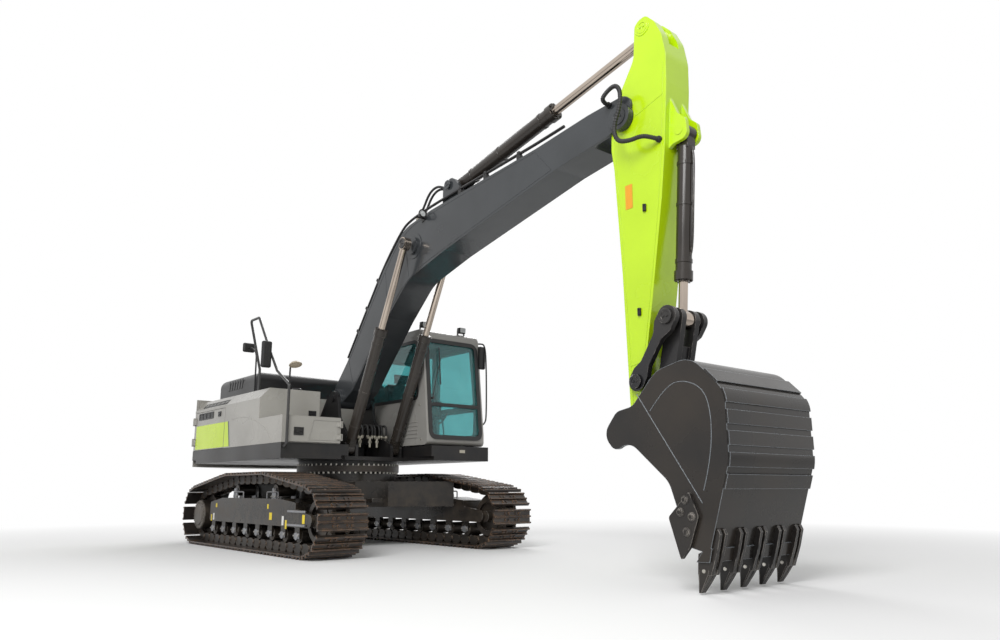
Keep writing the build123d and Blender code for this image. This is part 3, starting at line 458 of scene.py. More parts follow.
# Final drive covers: a stepped cast cover on each sprocket hub, held by a ring of bolts.
# Their paint is dulled to grey-brown by dust.
hub_grey = finish("hub_grey", (0.085, 0.080, 0.073), (0.12, 0.105, 0.09), (0.4, 0.6), edge_wear_and_highlight=bare_steel,
                  dust=earth, dust_top=0.9, dust_share=0.6)
left_out = Vector((0, 1, 0))
hub_side = 0.185
hub_flange = 0.016
hub_steps = [
    # near end, far end, radius at each
    (0.0, hub_flange, 0.199, 0.196), (hub_flange, 0.03, 0.150, 0.140), (0.03, 0.036, 0.135, 0.06),
]
hub_bolt_count = 24
hub_bolt_radius = 0.176
for side, side_name in track_sides:
    hub = bmesh.new()
    hub_bolts = bmesh.new()
    centre = place(-front_x, side * (track_gauge / 2 + hub_side), wheel_height)
    out = left_out * side
    for near, far, near_radius, far_radius in hub_steps:
        add_rod(hub, centre + out * near, centre + out * far, near_radius, far_radius, sides=48)
    add_bolt_circle(hub_bolts, centre + out * hub_flange, out, forward, hub_bolt_radius, hub_bolt_count,
                    0.009, 0.008)
    new_piece(f"hub_cover_{side_name}", hub, "undercarriage", hub_grey, "black_paint")
    new_piece(f"hub_bolts_{side_name}", hub_bolts, "undercarriage", hub_grey, "cast_parts")

# Roller ends, carrier brackets, steps and guard rails on each track frame, with its small blank plates.
# Caps are turned steel on a foot with two bolts, steps are bent round bar, and plates are thin sheet.
roller_count = 8
roller_span = 2.6
roller_radius = 0.08
roller_gap = 0.0005
roller_height = shoe_height + link_depth + roller_radius + roller_gap
roller_cap_side = 0.145
carrier_side = 0.119
carrier_foot = 0.62
carrier_height = 0.742
bracket_thickness = 0.016
frame_face = track_gauge / 2 + 0.19
frame_top = 0.64
step_side = 0.138
plate_yellow = finish("plate_yellow", (0.86, 0.66, 0.0), (0.78, 0.58, 0.0), (0.3, 0.45), edge_width=0.001)
plate_white = finish("plate_white", (0.78, 0.78, 0.75), (0.68, 0.67, 0.63), (0.3, 0.45), edge_width=0.001)
bracket_silver = finish("bracket_silver", (0.30, 0.31, 0.33), (0.18, 0.18, 0.19), (0.25, 0.5), metallic=0.6,
                        edge_wear_and_highlight=bare_steel, dust=earth, dust_share=0.35)
plates = [
    # forward, height, width, tall, material
    (0.666, 0.435, 0.075, 0.085, plate_yellow), (1.539, 0.422, 0.062, 0.098, plate_yellow),
    (-1.103, 0.539, 0.045, 0.055, plate_yellow), (0.578, 0.548, 0.038, 0.055, plate_yellow),
    (-1.265, 0.372, 0.032, 0.085, plate_yellow), (1.095, 0.352, 0.042, 0.098, plate_yellow),
    (1.007, 0.393, 0.052, 0.105, plate_white), (-1.185, 0.389, 0.052, 0.090, plate_white),
]


def round_edges(shape, verts, reach, steps=2):
    """Rounds the edges that meet at some points of a shape."""
    edges = list(dict.fromkeys(edge for vert in verts for edge in vert.link_edges))
    bmesh.ops.bevel(shape, geom=edges, offset=reach, segments=steps, affect="EDGES", profile=0.5,
                    material=-1)


def add_box(shape, low, high, round_edge, steps=2):
    """A box between two corners, with its edges rounded."""
    size = high - low
    lie = Matrix.Translation((low + high) / 2) @ Matrix.Diagonal((*(abs(extent) for extent in size), 1))
    round_edges(shape, bmesh.ops.create_cube(shape, size=1, matrix=lie)["verts"], round_edge, steps)


def add_slab(shape, corner, across, up, out, round_edge=0.0):
    """A slab from one corner along three edges, with its own edges rounded where a radius is given."""
    lie = Matrix((across, up, out)).transposed().to_4x4()
    lie.translation = corner + (across + up + out) / 2
    made = bmesh.ops.create_cube(shape, size=1, matrix=lie)["verts"]
    if round_edge:
        round_edges(shape, made, round_edge)


def spline_line(controls, steps):
    """Points along a smooth line drawn with a few control points."""
    curve = bpy.data.curves.new("line", "CURVE")
    curve.dimensions = "3D"
    spline = curve.splines.new("NURBS")
    spline.points.add(len(controls) - 1)
    for point, spot in zip(spline.points, controls):
        point.co = (*spot, 1)
    spline.order_u = 3
    spline.use_endpoint_u = True
    spline.resolution_u = steps
    holder = bpy.data.objects.new("line", curve)
    mesh = bpy.data.meshes.new_from_object(holder)
    points = [vert.co.copy() for vert in mesh.vertices]
    bpy.data.objects.remove(holder)
    bpy.data.curves.remove(curve)
    bpy.data.meshes.remove(mesh)
    return points


def close_rings(shape, rings):
    """Joins rows of points, all of one length, into a closed skin with capped ends."""
    count = len(rings[0])
    for first, second in zip(rings, rings[1:]):
        for step in range(count):
            after = (step + 1) % count
            shape.faces.new((first[step], first[after], second[after], second[step]))
    shape.faces.new(rings[0][::-1])
    shape.faces.new(rings[-1])


def add_tube(shape, points, radius, sides=10):
    """A round tube through a row of points. Radius is one size, or one for each point."""
    rings = []
    normal = (points[1] - points[0]).orthogonal().normalized()
    for index, spot in enumerate(points):
        along = (points[min(index + 1, len(points) - 1)] - points[max(index - 1, 0)]).normalized()
        normal = (normal - along * normal.dot(along)).normalized()
        other = along.cross(normal)
        size = radius[index] if isinstance(radius, list) else radius
        rings.append([
            shape.verts.new(spot + (normal * cos(turn) + other * sin(turn)) * size)
            for turn in (2 * pi * step / sides for step in range(sides))
        ])
    close_rings(shape, rings)


def bend_tube(shape, controls, radius, sides=10, steps=6):
    """A round bar or hose along a smooth line drawn with a few control points."""
    add_tube(shape, spline_line(controls, steps), radius, sides)


bracket_rows = mirrored([(0.034, 0.145), (0.075, 0.0)])
step_rows = mirrored([(0.16, 0.0), (0.16, 0.07), (0.155, 0.088), (0.13, 0.09)])
for side, side_name in track_sides:
    middle = side * track_gauge / 2
    caps = bmesh.new()
    cap_bolts = bmesh.new()
    out = left_out * side
    for index in range(roller_count):
        roller_x = (index / (roller_count - 1) - 0.5) * roller_span
        for face, way in ((middle + side * roller_cap_side, out), (middle - side * roller_cap_side, -out)):
            centre = place(roller_x, face, roller_height)
            add_rod(caps, centre, centre + way * 0.014, 0.046, 0.042, sides=20)
            front = centre + way * 0.008
            add_box(caps, centre + Vector((-0.066, 0, -0.028)), front + Vector((0.066, 0, 0.034)), 0.003)
            for bolt_x in (-0.054, 0.054):
                add_bolt(cap_bolts, front + Vector((bolt_x, 0, 0.006)), way, 0.009, 0.008)
    for carrier_x in (-carrier_spacing / 2, carrier_spacing / 2):
        for way in (-1, 1):
            face = middle + way * carrier_side
            front = face + way * bracket_thickness
            add_profile(caps, bracket_rows, Matrix.Translation(place(carrier_x, face, carrier_foot)), 0,
                        way * bracket_thickness)
            centre = place(carrier_x, front, carrier_height)
            add_rod(caps, centre, centre + left_out * way * 0.012, 0.030, 0.026, sides=20)
            for bolt_x in (-0.045, 0.045):
                add_bolt(cap_bolts, place(carrier_x + bolt_x, front, carrier_foot + 0.045), left_out * way,
                         0.009, 0.008)
    for step_x in (-0.478, 0.575):
        bend_tube(caps, [place(step_x + x, middle + side * step_side, frame_top - 0.01 + z)
                         for x, z in step_rows], 0.009)
    for rail_z in (0.352, 0.504):
        add_slab(caps, place(1.15, side * frame_face, rail_z - 0.012), forward * 0.45, out * 0.018,
                 upright * 0.024, 0.003)
    new_piece(f"roller_caps_{side_name}", caps, "undercarriage", bracket_silver, "cast_parts")
    new_piece(f"roller_bolts_{side_name}", cap_bolts, "undercarriage", bright_zinc, "cast_parts")
    for number, (plate_x, plate_z, wide, tall, paint) in enumerate(plates):
        blank = bmesh.new()
        add_box(blank, place(plate_x - wide / 2, side * frame_face, plate_z - tall / 2),
                place(plate_x + wide / 2, side * (frame_face + 0.002), plate_z + tall / 2), 0.0006, 1)
        new_piece(f"frame_plate_{side_name}_{number}", blank, "undercarriage", paint, "grey_paint")

# Body panels: pressed sheet steel over the tanks, toolbox, pumps and engine, sprayed a warm light grey.
# The deck with its skirt, the hood on top and the plain engine under it are black.
body_grey = finish("body_grey", (0.355, 0.342, 0.312), (0.315, 0.303, 0.276), (0.22, 0.36), coat=0.2,
                   shine=0.4, grain_depth=0.0002, edge_width=0.004, dust=earth, dust_top=1.7,
                   dust_share=0.12)
satin_black = finish("satin_black", (0.010, 0.010, 0.011), (0.018, 0.017, 0.017), (0.26, 0.42), coat=0.1,
                     shine=0.3, edge_width=0.003, dust=earth, dust_top=1.6, dust_share=0.25)
rail_grey = finish("rail_grey", (0.016, 0.016, 0.017), (0.026, 0.025, 0.024), (0.25, 0.4), coat=0.2,
                   edge_width=0.002)
dress(body_grey, "tanks", "toolbox", "toolbox_door", "engine_housing", "pump_door", "radiator_door",
      "counterweight")
dress(satin_black, "main_frame", "engine_hood", "engine_block", "valve_block")
dress(rail_grey, "handrails")

# Grilles and louvres: black pressed steel with leaning blades, let into the panels.
# Each rides with the door, hood or housing that carries it.


def add_ring(shape, centre, along, inner, outer, depth, soft=0.002, sides=32):
    """A turned ring standing on a face: its section is spun round the axis."""
    along = along.normalized()
    out = along.orthogonal().normalized()
    rows = [(inner, 0), (outer, 0), (outer, depth - soft), (outer - soft, depth), (inner + soft, depth),
            (inner, depth - soft)]
    section = [shape.verts.new(centre + out * r + along * h) for r, h in rows]
    loop = [shape.edges.new((first, second)) for first, second in zip(section, section[1:] + section[:1])]
    bmesh.ops.spin(shape, geom=section + loop, cent=centre, axis=along, angle=2 * pi, steps=sides,
                   use_merge=True)


def rounded(corners, radius, steps=6):
    """A loop of corners with a curve in place of each one."""
    outline = []
    for index, spot in enumerate(corners):
        before = corners[index - 1]
        after = corners[(index + 1) % len(corners)]
        start = spot + (before - spot).normalized() * radius
        end = spot + (after - spot).normalized() * radius
        for step in range(steps + 1):
            share = step / steps
            outline.append(start * (1 - share) ** 2 + spot * 2 * share * (1 - share) + end * share ** 2)
    return outline


def add_frame(shape, corners, width, rise, radius=0.0):
    """A flat rim of even width inside a loop of corners, raised along a vector."""
    outline = rounded(corners, radius) if radius else corners
    face = shape.faces.new([shape.verts.new(corner) for corner in outline])
    face.normal_update()
    rim = bmesh.ops.inset_region(shape, faces=[face], thickness=width, use_even_offset=True,
                                 use_boundary=True)["faces"]
    bmesh.ops.delete(shape, geom=[face], context="FACES")
    push(shape, rim, rise)


def add_grille(shape, corner, across, up, out, blades, posts, depth=0.007):
    """A rimmed panel of leaning blades with upright posts between them."""
    add_slab(shape, corner, across, up, out * depth * 0.2)
    add_frame(shape, [corner, corner + across, corner + across + up, corner + up], 0.009, out * depth)
    pitch = up / blades
    for index in range(blades):
        add_slab(shape, corner + pitch * index, across, pitch * 0.25 + out * depth * 0.7,
                 out * depth * 0.3 - pitch * 0.1)
    for index in range(1, posts):
        add_slab(shape, corner + across * (index / posts) - across.normalized() * 0.005,
                 across.normalized() * 0.010, up, out * depth * 0.95)


side_y = -1.3671
right_out = -left_out
slope_up = (upright - left_out).normalized()
door_grille = bmesh.new()
add_grille(door_grille, place(-2.056, side_y, 1.752), forward * 0.568, upright * 0.096, right_out, 4, 4)
new_piece("pump_door_grille", door_grille, "pump_door", satin_black, "black_paint")
radiator_grille = bmesh.new()
add_grille(radiator_grille, place(-2.10, -side_y, 1.42), forward * 0.72, upright * 0.34, left_out, 12, 3)
new_piece("radiator_door_grille", radiator_grille, "radiator_door", satin_black, "black_paint")
shoulder_grille = bmesh.new()
add_grille(shoulder_grille, place(-1.965, side_y + 0.018, 1.923), forward * 0.906,
           (upright + left_out) * 0.062, slope_up, 4, 6)
new_piece("shoulder_grille", shoulder_grille, "upper", satin_black, "black_paint")
louvre_pitch = 0.095
hood_louvres = bmesh.new()
for side in (-1, 1):
    for index in range(6):
        add_slab(hood_louvres, place(-1.80 + index * louvre_pitch, side * 1.0595, 2.185), forward * 0.052,
                 Vector((0.028, 0, 0.145)), left_out * side * 0.006, 0.002)
new_piece("hood_louvres", hood_louvres, "engine_hood", satin_black, "black_paint")

# Lime panel: sheet film on the right side, cut at the pump door's seam, with a dark blue border.
# It is laid flat on the paint, and its front edge leans back.
lime_paint = finish("lime_paint", (0.60, 0.80, 0.001), (0.55, 0.74, 0.001), (0.2, 0.34), coat=0.15,
                    grain_depth=0.0002, edge_width=0.004)
navy_film = finish("navy_film", (0.02, 0.028, 0.06), (0.03, 0.038, 0.075), (0.25, 0.35), edge_width=0.001)
panel_low = 1.325
panel_high = 1.67
film_thickness = 0.0012
films = [
    # name, body, low rear, low front, high front, high rear, material
    ("lime_panel_door", "pump_door", -2.157, -1.052, -1.052, -2.157, lime_paint),
    ("lime_panel_tank", "upper", -1.036, -0.845, -0.925, -1.036, lime_paint),
    ("navy_border", "upper", -0.845, -0.815, -0.895, -0.925, navy_film),
]
for name, body, low_rear, low_front, high_front, high_rear, material in films:
    panel = bmesh.new()
    rows = [(low_rear, panel_low), (low_front, panel_low), (high_front, panel_high), (high_rear, panel_high)]
    add_profile(panel, rows, Matrix.Translation(place(0, side_y, 0)), 0, -film_thickness)
    new_piece(name, panel, body, material, "lime_paint")

# Door latches: a black latch in a raised rim on each door, with its lift handle and a round lock.
# The toolbox door also has a rim pressed round its middle.
toolbox_face = 0.8601
square = ((-1, -1), (1, -1), (1, 1), (-1, 1))
latches = [
    # name, body, middle, outwards, half width, half height
    ("pump_door_latch", "pump_door", place(-1.245, side_y, 1.794), right_out, 0.045, 0.035),
    ("radiator_door_latch", "radiator_door", place(-1.30, -side_y, 1.794), left_out, 0.045, 0.035),
    ("toolbox_latch", "toolbox_door", place(toolbox_face, -1.168, 1.446), forward, 0.062, 0.048),
]
for name, body, middle, out, half_wide, half_tall in latches:
    latch = bmesh.new()
    wide = upright.cross(out) * half_wide
    tall = upright * half_tall
    add_slab(latch, middle - wide - tall, wide * 2, tall * 2, out * 0.004, 0.0015)
    add_frame(latch, [middle + wide * a + tall * b for a, b in square], 0.008, out * 0.009)
    add_slab(latch, middle - wide * 0.6 - tall * 0.45, wide * 0.9, tall * 0.9, out * 0.013, 0.003)
    lock = middle + wide * 0.62
    add_rod(latch, lock, lock + out * 0.014, 0.011, sides=16)
    new_piece(name, latch, body, satin_black, "black_paint")
toolbox_rim = [(-1.04, 1.345), (-0.63, 1.345), (-0.63, 1.60), (-0.98, 1.60)]
toolbox_panel = bmesh.new()
add_frame(toolbox_panel, [place(toolbox_face, y, z) for y, z in toolbox_rim], 0.012, forward * 0.005)
new_piece("toolbox_door_panel", toolbox_panel, "toolbox_door", body_grey, "grey_paint")

# Pressed creases: the arched crease over the tank and the toolbox, a swage in the same painted sheet.
# It stands a few millimetres proud. The slot in the tank's front is a small black grille.


def side_view(rows, y):
    """Places along a line or outline drawn in side view, at a distance to the left."""
    return [place(x, y, z) for x, z in rows]


crease = [(-0.79, 1.683), (-0.678, 1.692), (-0.471, 1.698), (-0.267, 1.684), (-0.048, 1.636), (0.116, 1.587)]
crease_front = [(0.126, 1.584), (0.167, 1.571), (0.351, 1.495), (0.462, 1.41), (0.534, 1.325)]
creases = bmesh.new()
for rows in (crease, crease_front):
    bend_tube(creases, side_view(rows, side_y + 0.003), 0.0065, 8)
new_piece("side_creases", creases, "upper", body_grey, "grey_paint")
front_slot = bmesh.new()
add_grille(front_slot, place(0.1205, -0.690, 1.660), left_out * 0.11, upright * 0.12, forward, 5, 1, 0.005)
new_piece("tank_front_slot", front_slot, "upper", satin_black, "black_paint")

# Mirrors: black plastic shells on bent stays, each with a silvered glass let into its back face.
# The round one over the toolbox is beige.
mirror_glass = finish("mirror_glass", (0.82, 0.84, 0.86), (0.76, 0.79, 0.82), (0.02, 0.07), metallic=1.0,
                      edge_width=0.001, grain_depth=0.00002)
beige_plastic = finish("beige_plastic", (0.42, 0.36, 0.27), (0.36, 0.30, 0.22), (0.3, 0.45),
                       edge_width=0.002)
mirror_shells = [
    # low corner, size of the shell
    (place(0.335, -1.484, 2.26), Vector((0.06, 0.130, 0.34))),
    (place(1.12, 1.372, 2.42), Vector((0.055, 0.112, 0.33))),
    (place(-0.845, -1.265, 2.64), Vector((0.05, 0.17, 0.13))),
]
stay_lines = [
    [(0.372, -1.335, 2.40), (0.366, -1.345, 2.41), (0.365, -1.372, 2.415)],
    [(0.90, -1.335, 1.94), (0.90, -1.335, 2.16), (0.91, -1.335, 2.24), (1.035, -1.335, 2.243)],
    [(-0.53, -1.18, 2.044), (-0.53, -1.18, 2.45), (-0.54, -1.18, 2.60), (-0.69, -1.18, 2.69),
     (-0.81, -1.18, 2.705)],
    [(1.04, 1.395, 2.80), (1.10, 1.44, 2.80), (1.17, 1.465, 2.78), (1.205, 1.468, 2.55),
     (1.215, 1.468, 1.80), (1.205, 1.455, 1.64), (1.18, 1.395, 1.62)],
]
shells = bmesh.new()
glasses = bmesh.new()
for low, size in mirror_shells:
    add_slab(shells, low, forward * size.x, left_out * size.y, upright * size.z, 0.022)
    add_slab(glasses, low + Vector((0.0005, 0.016, 0.018)), left_out * (size.y - 0.032),
             upright * (size.z - 0.036), forward * -0.003, 0.001)
round_mirror = bmesh.new()
dish_middle = place(1.037, -1.335, 2.245)
dish_along = Vector((0.35, 0, -0.94)).normalized()
dish_rim = dish_middle + dish_along * 0.022
add_rod(round_mirror, dish_middle, dish_rim, 0.055, 0.075, sides=36)
add_ring(round_mirror, dish_rim, dish_along, 0.068, 0.077, 0.008, sides=36)
stays = bmesh.new()
for stay_line in stay_lines:
    bend_tube(stays, [place(*spot) for spot in stay_line], 0.011, steps=8)
new_piece("mirror_shells", shells, "upper", satin_black, "black_paint")
new_piece("mirror_stays", stays, "upper", satin_black, "black_paint")
new_piece("round_mirror", round_mirror, "upper", beige_plastic, "grey_paint")
new_piece("mirror_glasses", glasses, "upper", mirror_glass, "chrome")

# Cab: folded steel posts and roof, welded up and sprayed in a grey near the body's.
# Glass is tinted a blue-green. The side and front panes have black rubber seals round them.


def clear_glass(name, tint, shade, share):
    """Tinted glass with a faint film of dust."""
    material = bpy.data.materials.new(name)
    material.use_nodes = True
    tree = material.node_tree
    shader = tree.nodes["Principled BSDF"]
    film_spread = noise(tree, tree.nodes.new("ShaderNodeTexCoord").outputs["Object"], 3.0, 6.0)
    seen = mix_colours(tree, ramp(tree, film_spread, 0.3, 0.7), (*tint, 1), (*shade, 1))
    tree.links.new(seen, shader.inputs["Base Color"])
    tree.links.new(ramp(tree, film_spread, 0.35, 0.75, 0.02, 0.09), shader.inputs["Roughness"])
    shader.inputs["Transmission Weight"].default_value = share
    shader.inputs["IOR"].default_value = 1.45
    return material


def add_pane(shape, corners, thick, corner=0.06, steps=6):
    """A pane with rounded corners. Thick is its thickness as a vector."""
    outline = [shape.verts.new(spot) for spot in rounded(corners, corner, steps)]
    push(shape, [shape.faces.new(outline)], thick)


teal_glass = clear_glass("teal_glass", (0.30, 0.66, 0.67), (0.25, 0.60, 0.61), 0.92)
lamp_lens = clear_glass("lamp_lens", (0.82, 0.84, 0.84), (0.74, 0.77, 0.78), 0.45)
cab_grey = finish("cab_grey", (0.315, 0.305, 0.285), (0.275, 0.266, 0.248), (0.22, 0.38), coat=0.2,
                  shine=0.4, grain_depth=0.0002, edge_width=0.004)
rubber = finish("rubber", (0.012, 0.012, 0.013), (0.022, 0.021, 0.020), (0.45, 0.7), edge_width=0.002,
                grain=60.0, grain_depth=0.0003)
dress(cab_grey, "cab_shell", "cab_door")
dress(teal_glass, "cab_door_glass")
cab_right = 0.4495
cab_left = 1.4005
cab_floor = 1.3702
front_foot = (1.24, 1.48)
front_head = (1.09, 2.90)
glass_thickness = 0.006


def on_windscreen(y, z, proud):
    """A point on the cab's sloping front."""
    slope = (front_head[0] - front_foot[0]) / (front_head[1] - front_foot[1])
    return place(front_foot[0] + slope * (z - front_foot[1]) + proud, y, z)


def windscreen_corners(low_y, high_y, low_z, high_z, proud):
    """Corners of a rectangle on the cab's sloping front."""
    rows = ((low_y, low_z), (high_y, low_z), (high_y, high_z), (low_y, high_z))
    return [on_windscreen(y, z, proud) for y, z in rows]


seals = bmesh.new()
add_frame(seals, side_view([(-0.40, 1.93), (1.03, 1.93), (0.99, 2.76), (-0.40, 2.76)], cab_right), 0.045,
          right_out * 0.005, 0.10)
add_frame(seals, side_view([(-0.42, 1.88), (0.04, 1.88), (0.04, 2.76), (-0.42, 2.76)], cab_left), 0.036,
          left_out * 0.005, 0.09)
new_piece("cab_seals", seals, "upper", rubber, "hose_rubber")
door_seals = bmesh.new()
for rows in ([(0.135, 1.875), (1.075, 1.875), (0.965, 2.735), (0.135, 2.735)],
             [(0.135, 1.455), (1.075, 1.455), (1.085, 1.855), (0.135, 1.855)]):
    add_frame(door_seals, side_view(rows, cab_left + 0.002), 0.036, left_out * 0.004, 0.09)
new_piece("cab_door_seals", door_seals, "cab_door", rubber, "hose_rubber")
bar_foot = 1.842
front_seals = bmesh.new()
add_frame(front_seals, windscreen_corners(0.480, 1.37, 1.40, 2.775, 0.001), 0.058, forward * 0.008, 0.13)
add_slab(front_seals, on_windscreen(0.50, bar_foot, -0.002), left_out * 0.85, upright * 0.048,
         forward * 0.012, 0.004)
new_piece("windscreen_seals", front_seals, "upper", rubber, "hose_rubber")
rear_window = [(0.532, 1.942), (1.318, 1.942), (1.318, 2.658), (0.532, 2.658)]
panes = bmesh.new()
add_pane(panes, side_view([(-0.388, 1.942), (1.018, 1.942), (1.018, 2.748), (-0.348, 2.748)], 0.464),
         left_out * glass_thickness)
add_pane(panes, side_view([(-0.408, 1.892), (0.028, 1.892), (0.028, 2.748), (-0.366, 2.748)], 1.380),
         left_out * glass_thickness)
add_pane(panes, [place(-0.508, y, z) for y, z in rear_window], forward * glass_thickness)
for low, high in ((1.422, 1.85), (1.885, 2.748)):
    add_pane(panes, windscreen_corners(0.512, 1.338, low, high, -0.022), forward * glass_thickness, 0.04)
new_piece("cab_panes", panes, "upper", teal_glass, "cab_glass")
cross_bar = bmesh.new()
add_slab(cross_bar, on_windscreen(0.515, bar_foot, -0.030), left_out * 0.82, upright * 0.050,
         forward * 0.030, 0.004)
new_piece("windscreen_cross_bar", cross_bar, "upper", satin_black, "black_paint")

# Wiper: a thin bent arm on a spindle at the upper pane's lower right, with a straight rubber blade.
# It is black all over and parks upright on the glass.
blade_foot = on_windscreen(0.695, 2.14, 0.004)
blade_head = on_windscreen(0.695, 2.66, 0.004)
wiper = bmesh.new()
bend_tube(wiper, [on_windscreen(0.56, 1.95, 0.018), on_windscreen(0.60, 2.2, 0.028),
                  on_windscreen(0.70, 2.45, 0.022)], 0.006, 8)
add_rod(wiper, on_windscreen(0.56, 1.95, 0.0), on_windscreen(0.56, 1.95, 0.026), 0.016, sides=16)
add_slab(wiper, blade_foot, left_out * 0.012, blade_head - blade_foot, forward * 0.012, 0.002)
new_piece("wiper", wiper, "upper", rubber, "hose_rubber")

# Ribs pressed into the cab's right side under its window, in the same sheet and paint.
# Plated bolts hold the posts at their ends.
rib_pitch = 0.052
ribs = bmesh.new()
for index in range(5):
    add_slab(ribs, place(0.60, cab_right, 1.42 + index * rib_pitch), forward * 0.42, upright * 0.018,
             right_out * 0.007, 0.003)
new_piece("cab_side_ribs", ribs, "upper", cab_grey, "grey_paint")
cab_bolt_rows = [(-0.46, 1.40), (-0.46, 1.85), (1.10, 1.40), (1.06, 1.86), (-0.43, 2.80), (0.99, 2.80),
                 (0.3, 2.80)]
cab_bolts = bmesh.new()
for spot in side_view(cab_bolt_rows, cab_right):
    add_bolt(cab_bolts, spot, right_out, 0.009, 0.006)
new_piece("cab_bolts", cab_bolts, "upper", bright_zinc, "cast_parts")

# Roof lamps: two black moulded housings over the windscreen, each on a folded steel bracket.
# Their lenses are pale plastic.
roof_lamp_sides = (0.54, 1.18)
bracket_foot = 2.899
roof_lamps = bmesh.new()
for lamp_y in roof_lamp_sides:
    add_slab(roof_lamps, place(0.955, lamp_y - 0.055, 2.932), forward * 0.072, left_out * 0.11,
             upright * 0.083, 0.012)
    for cheek_y in (lamp_y - 0.058, lamp_y + 0.052):
        add_slab(roof_lamps, place(0.962, cheek_y, bracket_foot), forward * 0.030, left_out * 0.006,
                 upright * 0.075)
    add_slab(roof_lamps, place(0.958, lamp_y - 0.058, bracket_foot), forward * 0.040, left_out * 0.116,
             upright * 0.005)
new_piece("roof_lamps", roof_lamps, "upper", satin_black, "black_paint")
lenses = bmesh.new()
for lamp_y in roof_lamp_sides:
    add_slab(lenses, place(1.0265, lamp_y - 0.046, 2.941), left_out * 0.092, upright * 0.065,
             forward * 0.005, 0.002)
new_piece("roof_lamp_lenses", lenses, "upper", lamp_lens, "cab_glass")

# Cab door handle: a bent round bar over a flat plate, at the rear edge of the door.
# Both are black.
door_handle = bmesh.new()
add_slab(door_handle, place(0.165, cab_left, 1.865), forward * 0.13, upright * 0.045, left_out * 0.004,
         0.002)
bend_tube(door_handle, [place(0.18, cab_left, 1.885), place(0.19, cab_left + 0.03, 1.885),
                        place(0.27, cab_left + 0.03, 1.885), place(0.28, cab_left, 1.885)], 0.008, 8)
new_piece("cab_door_handle", door_handle, "cab_door", satin_black, "black_paint")

# Driver's seat: foam on a steel pan, in a dark woven cover with two sewn channels down each cushion.
# The fabric has a fine weave; the cushion and back are crowned and pulled in between their corners.
seat_cloth = finish("seat_cloth", (0.030, 0.031, 0.034), (0.045, 0.046, 0.050), (0.75, 0.9), grain=420.0,
                    grain_depth=0.0006, edge_width=0.004)


def add_cushion(shape, corner, across, up, out, crown, cells=14):
    """A padded pillow on a rectangle: crowned on its face, with sides pulled in and two sewn channels."""
    soft_edge = 0.16
    pulled_in = 0.022
    channel_half_width = 0.035
    channel_depth = 0.009
    cover = bmesh.ops.create_grid(shape, x_segments=cells, y_segments=cells, size=0.5)["verts"]
    for vert in cover:
        u = vert.co.x + 0.5
        v = vert.co.y + 0.5
        from_edge = min(u, 1 - u, v, 1 - v)
        full = 1 - (1 - min(from_edge / soft_edge, 1)) ** 2.4
        pull = pulled_in * sin(pi * u) * (0.5 - v) * (1 - full)
        channel = max(0, 1 - abs(abs(u - 0.5) - 0.24) / channel_half_width) * channel_depth * full
        hill = crown * full * (0.78 + 0.22 * sin(pi * u) * sin(pi * v)) - channel
        vert.co = corner + across * u + up * (v + pull) + out * hill
    rim = [edge for edge in shape.edges if edge.is_boundary]
    sides = bmesh.ops.extrude_edge_only(shape, edges=rim)["geom"]
    low = [item for item in sides if isinstance(item, bmesh.types.BMVert)]
    bmesh.ops.translate(shape, verts=low, vec=out * crown * -0.9)
    hem = [item for item in sides if isinstance(item, bmesh.types.BMEdge) and item.is_boundary]
    bmesh.ops.edgeloop_fill(shape, edges=hem)


seat_middle = 0.93
seat_width = 0.47
headrest_width = 0.25
back_lean = Vector((-0.08, 0, 0.67))
back_out = Vector((0.993, 0, 0.119))
seat = bmesh.new()
add_cushion(seat, place(-0.12, seat_middle - seat_width / 2, 1.60), forward * 0.53, left_out * seat_width,
            upright, 0.055)
add_cushion(seat, place(-0.055, seat_middle - seat_width / 2, 1.61), back_lean, left_out * seat_width,
            back_out, 0.052)
add_cushion(seat, place(-0.13, seat_middle - headrest_width / 2, 2.305), Vector((-0.012, 0, 0.13)),
            left_out * headrest_width, back_out, 0.036)
seat_piece = new_piece("driver_seat", seat, "upper", seat_cloth, "seat_fabric")
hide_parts("cab_seat")

# Round the seat: its steel base, moulded side consoles with joysticks, travel pedals and a blank monitor.
# The safety lever beside the door is red.
red_paint = finish("red_paint", (0.55, 0.02, 0.015), (0.45, 0.018, 0.012), (0.25, 0.4), edge_width=0.002)
console_grey = finish("console_grey", (0.055, 0.056, 0.060), (0.075, 0.075, 0.078), (0.5, 0.7), grain=300.0,
                      grain_depth=0.0003, edge_width=0.003)
inside = bmesh.new()
add_slab(inside, place(-0.10, 0.72, cab_floor), forward * 0.48, left_out * 0.42, upright * 0.1358, 0.012)
add_slab(inside, place(-0.14, 0.70, 1.510), forward * 0.55, left_out * 0.46, upright * 0.085, 0.02)
add_slab(inside, place(-0.235, 0.72, 1.60), back_lean, left_out * 0.42, Vector((0.14, 0, 0.017)), 0.03)
add_slab(inside, place(-0.205, 0.86, 2.25), Vector((-0.010, 0, 0.12)), left_out * 0.14, forward * 0.05, 0.01)
for low_y in (0.565, 1.195):
    add_slab(inside, place(-0.15, low_y, cab_floor), forward * 0.42, left_out * 0.10, upright * 0.3768, 0.02)
    add_slab(inside, place(-0.15, low_y - 0.005, 1.745), forward * 0.62, left_out * 0.11, upright * 0.07,
             0.022)
    stick = place(0.40, low_y + 0.05, 1.81)
    add_rod(inside, stick, stick + upright * 0.05, 0.040, 0.015, sides=20)
    bend_tube(inside, [stick, stick + upright * 0.09, stick + Vector((0.015, 0, 0.13)),
                       stick + Vector((0.015, 0, 0.20))], 0.017, 12)
for pedal_y in (0.80, 0.93, 1.06):
    add_slab(inside, place(0.86, pedal_y - 0.045, cab_floor), Vector((0.09, 0, 0.05)), left_out * 0.09,
             Vector((-0.008, 0, 0.014)), 0.004)
lever_rows = [(0.88, cab_floor), (0.85, 1.60), (0.80, 1.75), (0.74, 1.80)]
